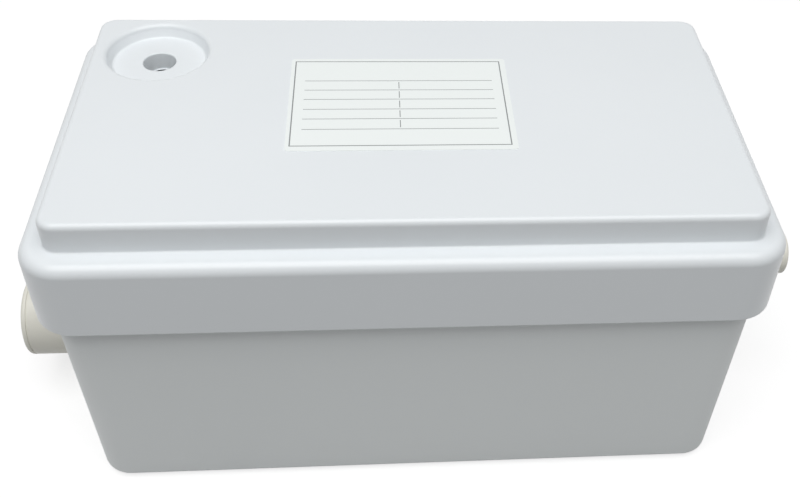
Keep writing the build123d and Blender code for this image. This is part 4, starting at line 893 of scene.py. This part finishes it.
class Workshop:
    """Finishes meshes into pieces that ride on a CAD body."""

    def __init__(self, materials: MaterialLibrary) -> None:
        """Takes the library that dresses the pieces."""
        self.materials = materials

    def place(self, mesh: bpy.types.Mesh, body: str, replaced: Sequence[str], slot: str, inks: Sequence[str],
              sharp: float) -> None:
        """Links a finished piece.

        Args:
            mesh: Its mesh, in metres, in place.
            body: CAD body that it rides on.
            replaced: CAD nodes that it stands for.
            slot: The record's material slot, and the finish of its first material.
            inks: Finishes of its further materials.
            sharp: Angle in degrees over which an edge stays sharp.
        """
        for finish in (slot, *inks):
            mesh.materials.append(self.materials.get(finish))
        for polygon in mesh.polygons:
            polygon.use_smooth = True
        mesh.set_sharp_from_angle(angle=math.radians(sharp))
        piece = link(mesh.name, mesh)
        piece.modifiers.new("weighted", "WEIGHTED_NORMAL").keep_sharp = True
        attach(piece, body)
        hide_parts(*replaced)
        log.info("%s: %d faces", mesh.name, len(mesh.polygons))


# Outer pieces

class Piece(ABC):
    """An outer piece that stands for one CAD node."""

    body: ClassVar[str] = "root"
    node: ClassVar[str]
    slot: ClassVar[str]
    inks: ClassVar[tuple[str, ...]] = ()
    sharp: ClassVar[float] = 35.0

    @abstractmethod
    def shell(self) -> bpy.types.Mesh:
        """Builds the piece's mesh and returns it."""

    def build(self, workshop: Workshop) -> None:
        """Builds the piece, dresses it and puts it on its body."""
        workshop.place(self.shell(), self.body, [self.node], self.slot, self.inks, self.sharp)


@dataclass(frozen=True)
class Lid(Piece):
    """Lid with its rim, raised plateau, vent recess, ribs and cord notch."""

    body: ClassVar[str] = "lid"
    node: ClassVar[str] = "lid"
    slot: ClassVar[str] = "lid_plastic"
    half: Pair = (146.3, 81.3)
    corner: float = 17.0
    wall: float = 2.5
    foot: float = 101.5
    shelf: float = 135.4
    top: float = 148.4
    rim_fillet: float = 4.6
    foot_round: float = 0.35
    inner_fillet: float = 2.0
    plateau_inset: float = 9.55
    plateau_corner: float = 7.0
    plateau_fillet: float = 2.4
    plateau_root: float = 0.9
    vent: Pair = (-108.5, 44.0)
    recess_radius: float = 21.4
    recess_floor_radius: float = 20.3
    recess_depth: float = 5.5
    recess_round: float = 2.3
    recess_root: float = 1.2
    hole_radius: float = 7.0
    hole_round: float = 0.6
    hole_draft: float = 0.6
    lip_reach: float = 0.6
    lip_thickness: float = 0.4
    spout_wall: float = 3.5
    spout_length: float = 8.0
    rib_spacing: float = 90.0
    rib_thickness: float = 2.0
    rib_depth: float = 6.0
    notch_x: float = -22.0
    notch_half: float = 7.1
    notch_top: float = 119.1
    notch_edge: float = 0.4

    def _outside(self) -> list[Step]:
        """Lists the outer outlines.

        Returns:
            Inset, corner radius and height of each, from the foot up to the plateau.
        """
        edge, ground = self.plateau_inset, self.shelf + FALL
        rim = quarter((self.foot_round, self.foot), (0.0, self.foot + self.foot_round), 2, level=True)
        rim += quarter((0.0, self.shelf - self.rim_fillet), (self.rim_fillet, self.shelf), 8)
        plateau = quarter((edge - self.plateau_root, ground), (edge, ground + self.plateau_root), 3, level=True)
        plateau += quarter((edge, self.top - self.plateau_fillet), (edge + self.plateau_fillet, self.top), 5)
        steps = [(inset, self.corner - inset, height) for inset, height in rim]
        return steps + [(inset, self.plateau_corner + edge - inset, height) for inset, height in plateau]

    def _recess(self) -> list[Pair]:
        """Lists the circles of the recess, the hole and its spout.

        Returns:
            Radius and height of each, from the recess's mouth through the hole and back under the roof.
        """
        floor = self.top - self.recess_depth
        rings = quarter((self.recess_radius + self.recess_round, self.top),
                        (self.recess_radius, self.top - self.recess_round), 6, level=True)
        rings += quarter((self.recess_floor_radius, floor + self.recess_root),
                         (self.recess_floor_radius - self.recess_root, floor), 4)
        rings += quarter((self.hole_radius + self.hole_round, floor),
                         (self.hole_radius, floor - self.hole_round), 3, level=True)
        tip = floor - self.spout_length
        ledge = tip + self.lip_thickness
        narrow, spout = self.hole_radius - self.hole_draft, self.hole_radius + self.spout_wall
        lip, outer = narrow - self.lip_reach, self.recess_radius + self.wall
        return rings + [(narrow, ledge), (lip, ledge - FALL), (lip, tip), (spout, tip + FALL),
                        (spout, floor - self.wall - FALL), (outer, floor - self.wall), (outer, self.top - self.wall)]

    def _inside(self) -> list[Step]:
        """Lists the inner outlines.

        Returns:
            Inset, corner radius and height of each, from the roof down to the foot.
        """
        under = self.shelf - self.wall
        inner, corner = self.plateau_inset + self.wall, self.plateau_corner - self.wall
        rows = quarter((self.wall + self.inner_fillet, under), (self.wall, under - self.inner_fillet), 4, level=True)
        rows.append((self.wall, self.foot + FALL))
        steps = [(inner, corner, self.top - self.wall), (inner, corner, under + FALL)]
        return steps + [(inset, self.corner - inset, height) for inset, height in rows]

    def shell(self) -> bpy.types.Mesh:
        """Builds the shell and its ribs, with the notch cut in the back skirt.

        Returns:
            The lid's mesh.
        """
        form, ribs, notch = Form(), Form(), Form()
        outside, inside = (form.outlines(self.half, steps) for steps in (self._outside(), self._inside()))
        recess = [form.circle(radius, self.vent, height) for radius, height in self._recess()]
        for loops in (outside, recess, inside, [inside[-1], outside[0]]):
            form.chain(loops)
        form.fill(outside[-1], recess[0])
        form.fill(recess[-1], inside[0])
        notch.bar((self.notch_x - self.notch_half, self.half[1] - 2 * self.wall, self.foot - self.wall),
                  (self.notch_x + self.notch_half, self.half[1] + self.wall, self.notch_top), self.notch_edge)
        reach = self.half[1] - self.plateau_inset - self.wall / 2
        for side in (-1, 1):
            middle = side * self.rib_spacing / 2
            ribs.bar((middle - self.rib_thickness / 2, -reach, self.top - self.wall - self.rib_depth),
                     (middle + self.rib_thickness / 2, reach, self.top - self.wall / 2))
        return carve(form.mesh("lid_shell"), [("UNION", ribs), ("DIFFERENCE", notch)])


@dataclass(frozen=True)
class RatingLabel(Piece):
    """Film label with a printed frame and rules, bare of words."""

    body: ClassVar[str] = "lid"
    node: ClassVar[str] = "rating_label"
    slot: ClassVar[str] = "label_film"
    inks: ClassVar[tuple[str, ...]] = ("label_ink",)
    middle: Pair = (-3.6, 4.2)
    half: Pair = (46.5, 33.0)
    corner: float = 1.5
    low: float = 148.39
    high: float = 148.6
    frame: tuple[float, float, float, float] = (-48.25, -25.6, 40.3, 35.0)
    frame_width: float = 0.5
    rules: tuple[float, ...] = (20.1, 13.2, 6.4, -0.7, -7.5, -14.6)
    rule_reach: Pair = (-43.9, 36.0)
    rule_width: float = 0.35
    tick_x: float = -4.1
    tick_share: float = 0.7

    def _lines(self) -> list[tuple[float, float, float, float]]:
        """Lists the printed lines.

        Returns:
            Low and high corner of each.
        """
        left, front, right, back = self.frame
        half = self.frame_width / 2
        lines = [(left - half, edge - half, right + half, edge + half) for edge in (front, back)]
        lines += [(edge - half, front - half, edge + half, back + half) for edge in (left, right)]
        half = self.rule_width / 2
        lines += [(self.rule_reach[0], y - half, self.rule_reach[1], y + half) for y in self.rules]
        for upper, lower in zip(self.rules, self.rules[1:]):
            middle = (upper + lower) / 2
            reach = (upper - lower) * self.tick_share / 2
            lines.append((self.tick_x - half, middle - reach, self.tick_x + half, middle + reach))
        return lines

    def shell(self) -> bpy.types.Mesh:
        """Builds the label, with its printed faces on the second material.

        Returns:
            The label's mesh.
        """
        form = Form()
        edges = form.outline(self.half, self.corner, 0.0, arc=6, cuts=(0, 0))
        bm = form.bm
        bmesh.ops.translate(bm, verts=bm.verts, vec=(*self.middle, self.high))
        bmesh.ops.contextual_create(bm, geom=edges)
        lines = self._lines()
        for axis, picks in ((Axis.X, (0, 2)), (Axis.Y, (1, 3))):
            for value in sorted({round(line[pick], 4) for line in lines for pick in picks}):
                bmesh.ops.bisect_plane(bm, geom=bm.verts[:] + bm.edges[:] + bm.faces[:],
                                       plane_co=Vector(axis.value) * value, plane_no=axis.value)
        for face in bm.faces:
            spot = face.calc_center_median()
            face.material_index = int(any(line[0] < spot.x < line[2] and line[1] < spot.y < line[3] for line in lines))
        skirt = bmesh.ops.extrude_edge_only(bm, edges=[edge for edge in bm.edges if edge.is_boundary])["geom"]
        bmesh.ops.translate(bm, verts=[item for item in skirt if isinstance(item, bmesh.types.BMVert)],
                            vec=(0.0, 0.0, self.low - self.high))
        bmesh.ops.contextual_create(bm, geom=[edge for edge in bm.edges if edge.is_boundary])
        return form.mesh("label_film")


@dataclass(frozen=True)
class Port:
    """A connector's hole in the tank: its place, and the radii of the pad round it and of its bore."""

    y: float
    z: float
    pad: float
    bore: float


@dataclass(frozen=True)
class Tank(Piece):
    """Drafted tank with its rim flange, deck ledge, bosses, port pads and pockets."""

    node: ClassVar[str] = "tank"
    slot: ClassVar[str] = "tank_plastic"
    sharp: ClassVar[float] = 28.0
    half: Pair = (141.74, 76.74)
    corner: float = 16.0
    draft: float = 3.07
    wall: float = 3.0
    foot: float = 1.5
    foot_fillet: float = 3.0
    levels: tuple[float, ...] = (30.0, 55.0, 80.0)
    skirt_foot: float = 101.5
    floor_top: float = 4.5
    rim_low: float = 124.1
    rim_top: float = 130.1
    rim_out: float = 1.46
    rim_round: float = 0.6
    ledge_low: float = 93.0
    ledge_top: float = 96.0
    ledge_inset: float = 11.0
    ledge_corner: float = 7.0
    boss_radius: float = 5.2
    boss_low: float = 83.0
    boss_floor: float = 1.5
    boss_sunk: float = 0.5
    screw_radius: float = 1.6
    screw_reach: tuple[Pair, ...] = ((134.24, 38.0), (95.0, 69.24))
    inlet: Port = Port(-3.4, 33.5, 25.0, 18.3)
    outlet: Port = Port(-6.8, 69.3, 16.5, 10.3)
    pad_proud: float = 1.5
    pocket_reach: Pair = (115.24, 53.24)
    pocket_radius: float = 9.02
    pocket_depth: float = 1.0
    cord_x: float = -22.0
    cord_z: float = 112.0
    cord_half: float = 6.52

    def _inset(self, height: float) -> float:
        """How far the outside is drawn in at a height."""
        return self.draft * (1 - min((height - self.foot) / (self.skirt_foot - self.foot), 1.0))

    def _inner(self, height: float) -> Step:
        """Step of the inner wall at a height."""
        inset = self._inset(height) + self.wall
        return inset, self.corner - inset, height

    def _steps(self) -> list[Step]:
        """Lists the outlines.

        Returns:
            Inset, corner radius and height of each, from the foot over the rim and the ledge to the floor.
        """
        foot = quarter((self.foot_fillet, self.foot), (0.0, self.foot + self.foot_fillet), 5, level=True)
        rows = [(self._inset(height) + inset, height) for inset, height in foot]
        rows += [(self._inset(height), height) for height in (*self.levels, self.skirt_foot, self.rim_low)]
        rows.append((-self.rim_out, self.rim_low))
        rows += quarter((-self.rim_out, self.rim_top - self.rim_round),
                        (self.rim_round - self.rim_out, self.rim_top), 2)
        rows += [(self.wall, self.rim_top), (self.wall, self.skirt_foot)]
        steps = [(inset, self.corner - inset, height) for inset, height in rows]
        steps += [self._inner(self.ledge_top), (self.ledge_inset, self.ledge_corner, self.ledge_top - FALL),
                  (self.ledge_inset, self.ledge_corner, self.ledge_low), self._inner(self.ledge_low - FALL)]
        return steps + [self._inner(height) for height in (*reversed(self.levels), self.floor_top)]

    def _tools(self) -> list[tuple[str, Form]]:
        """Shapes bosses and pads to add, then holes and pockets to cut.

        Returns:
            Pairs of operation and closed form.
        """
        added, cut = Form(), Form()
        for spot in (item for reach in self.screw_reach for item in mirrored(*reach)):
            centre = (*spot, 0.0)
            added.rod(self.boss_low, self.ledge_top - self.boss_sunk, self.boss_radius, Axis.Z, centre)
            cut.rod(self.boss_low + self.boss_floor, self.ledge_top + PAST, self.screw_radius, Axis.Z, centre,
                    steps=16)
        for side, port in ((-1, self.inlet), (1, self.outlet)):
            face = self.half[0] - self._inset(port.z)
            low, high = sorted((side * (face + self.pad_proud), side * (face - self.wall - self.pad_proud)))
            centre = (0.0, port.y, port.z)
            added.rod(low, high, port.pad, Axis.X, centre, steps=64)
            cut.rod(low - PAST, high + PAST, port.bore, Axis.X, centre, steps=64)
        for x, y in mirrored(*self.pocket_reach):
            cut.rod(self.foot - PAST, self.foot + self.pocket_depth, self.pocket_radius, Axis.Z, (x, y, 0.0))
        cut.bar((self.cord_x - self.cord_half, self.half[1] - 2 * self.wall, self.cord_z - self.cord_half),
                (self.cord_x + self.cord_half, self.half[1] + self.wall, self.cord_z + self.cord_half))
        return [("UNION", added), ("DIFFERENCE", cut)]

    def shell(self) -> bpy.types.Mesh:
        """Builds the tank with its ledge, then its bosses, pads and holes.

        Returns:
            The tank's mesh.
        """
        form = Form()
        loops = form.outlines(self.half, self._steps())
        form.chain(loops)
        form.fill(loops[0])
        form.fill(loops[-1])
        return carve(form.mesh("tank_shell"), self._tools())


@dataclass(frozen=True)
class FootPads(Piece):
    """Four rubber feet with a chamfered edge and a ringed tread."""

    node: ClassVar[str] = "foot_pads"
    slot: ClassVar[str] = "black_rubber"
    spread: Pair = (115.24, 53.24)
    radius: float = 9.0
    top: float = 2.5
    chamfer: float = 0.5
    tread: float = 0.35
    groove_radii: tuple[float, ...] = (2.0, 4.0, 6.0)
    groove_slope: float = 0.3
    groove_flat: float = 0.6

    def shell(self) -> bpy.types.Mesh:
        """Builds the feet, each turned from one profile.

        Returns:
            The mesh of all four.
        """
        form = Form()
        rings = [(0.0, 0.0)]
        for radius in self.groove_radii:
            near = radius + self.groove_slope
            far = near + self.groove_flat
            rings += [(0.0, radius), (self.tread, near), (self.tread, far), (0.0, far + self.groove_slope)]
        rings += [(0.0, self.radius - self.chamfer), (self.chamfer, self.radius), (self.top, self.radius),
                  (self.top, 0.0)]
        for x, y in mirrored(*self.spread):
            form.turned(rings, Axis.Z, (x, y, 0.0), steps=48)
        return form.mesh("foot_rubbers")


@dataclass(frozen=True)
class OutletSpigot(Piece):
    """Small connector on the right, with its flange and neck."""

    node: ClassVar[str] = "outlet_spigot"
    slot: ClassVar[str] = "connector_plastic"
    y: float = -6.8
    z: float = 69.3
    tip: float = 177.0
    end: float = 119.65
    flange: Pair = (143.75, 147.25)
    radius: float = 10.2
    bore: float = 7.8
    neck: float = 10.0
    flange_radius: float = 15.0
    flange_round: float = 0.6
    root: float = 0.5
    lip: float = 1.0
    mouth: float = 0.6

    def shell(self) -> bpy.types.Mesh:
        """Builds the connector by turning its profile.

        Returns:
            The connector's mesh.
        """
        low, high = self.flange
        profile = [(self.end, self.bore), (self.end, self.neck), (low, self.neck), (low, self.flange_radius)]
        profile += quarter((high - self.flange_round, self.flange_radius),
                           (high, self.flange_radius - self.flange_round), 3, level=True)
        profile += quarter((high, self.radius + self.root), (high + self.root, self.radius), 2)
        profile += quarter((self.tip - self.lip, self.radius), (self.tip, self.radius - self.lip), 5, level=True)
        profile += quarter((self.tip, self.bore + self.mouth), (self.tip - self.mouth, self.bore), 3)
        form = Form()
        form.turned(profile, Axis.X, (0.0, self.y, self.z))
        return form.mesh("outlet_connector")


@dataclass(frozen=True)
class InletSpigot(Piece):
    """Large connector on the left, with its flange, lip groove, seat and hinge ears."""

    node: ClassVar[str] = "inlet_spigot"
    slot: ClassVar[str] = "connector_plastic"
    y: float = -3.4
    z: float = 33.5
    tip: float = -177.0
    end: float = -118.05
    seat: float = -121.05
    flange: Pair = (-148.85, -145.05)
    radius: float = 18.0
    bore: float = 15.0
    seat_bore: float = 12.0
    flange_radius: float = 24.0
    flange_round: float = 0.8
    lip: float = 1.3
    mouth: float = 0.9
    groove_back: float = 2.2
    groove_width: float = 0.6
    groove_depth: float = 0.35
    groove_slope: float = 0.05
    ear_gap: float = 2.9
    ear_thickness: float = 2.0
    ear_reach: float = -115.65
    ear_heights: Pair = (47.9, 50.7)
    ear_edge: float = 0.3
    pin_x: float = -116.85
    pin_z: float = 49.2
    pin_radius: float = 0.82
    pin_reach: float = 6.0
    hub_room: float = 1.9

    def _profile(self) -> list[Pair]:
        """Lists the points of the connector's section.

        Returns:
            Distance along the axis and radius of each, from the mouth over the outside to the seat.
        """
        turn, (low, high) = self.flange_round, self.flange
        near = self.tip + self.groove_back
        far = near + self.groove_width
        floor = self.radius - self.groove_depth
        profile = quarter((self.tip + self.mouth, self.bore), (self.tip, self.bore + self.mouth), 3, level=True)
        profile += quarter((self.tip, self.radius - self.lip), (self.tip + self.lip, self.radius), 6)
        profile += [(near, self.radius), (near + self.groove_slope, floor), (far - self.groove_slope, floor),
                    (far, self.radius)]
        profile += quarter((low - turn, self.radius), (low, self.radius + turn), 3, level=True)
        profile += quarter((low, self.flange_radius - turn), (low + turn, self.flange_radius), 3)
        return profile + [(high, self.flange_radius), (high, self.radius), (self.end, self.radius),
                          (self.end, self.seat_bore), (self.seat, self.seat_bore), (self.seat, self.bore)]

    def shell(self) -> bpy.types.Mesh:
        """Builds the connector by turning its profile, then its ears and the holes for the pin and the hub.

        Returns:
            The connector's mesh.
        """
        form, ears, cut = Form(), Form(), Form()
        form.turned(self._profile(), Axis.X, (0.0, self.y, self.z), steps=96)
        low, high = self.ear_heights
        for side in (-1, 1):
            near, far = sorted((self.y + side * self.ear_gap, self.y + side * (self.ear_gap + self.ear_thickness)))
            ears.bar((self.end - PAST, near, low), (self.ear_reach, far, high), self.ear_edge)
        for reach, radius in ((self.pin_reach, self.pin_radius), (self.ear_gap, self.hub_room)):
            cut.rod(-reach, reach, radius, Axis.Y, (self.pin_x, self.y, self.pin_z), steps=24)
        return carve(form.mesh("inlet_connector"), [("UNION", ears), ("DIFFERENCE", cut)])


def dress_nodes(frame: dict, materials: MaterialLibrary) -> None:
    """Gives every CAD node the finish of its record slot.

    Args:
        frame: The loaded frame.
        materials: Library that builds the finishes.
    """
    slots = {part["node"]: part["material_slot"] for part in frame["record"]["subparts"]}
    for node, obj in frame["nodes"].items():
        obj.data.materials.clear()
        obj.data.materials.append(materials.get(slots[node]))


def main(frame: dict) -> None:
    """Dresses the frame.

    Args:
        frame: The loaded frame.
    """
    PhotoCamera().build()
    Studio().build()
    materials = MaterialLibrary(EffectLibrary())
    dress_nodes(frame, materials)
    workshop = Workshop(materials)
    for assembly in (Lid(), RatingLabel(), Tank(), FootPads(), OutletSpigot(), InletSpigot()):
        assembly.build(workshop)
    log.info("dressed %d nodes", len(frame["nodes"]))


if __name__ == "__main__":
    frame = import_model()
    main(frame)
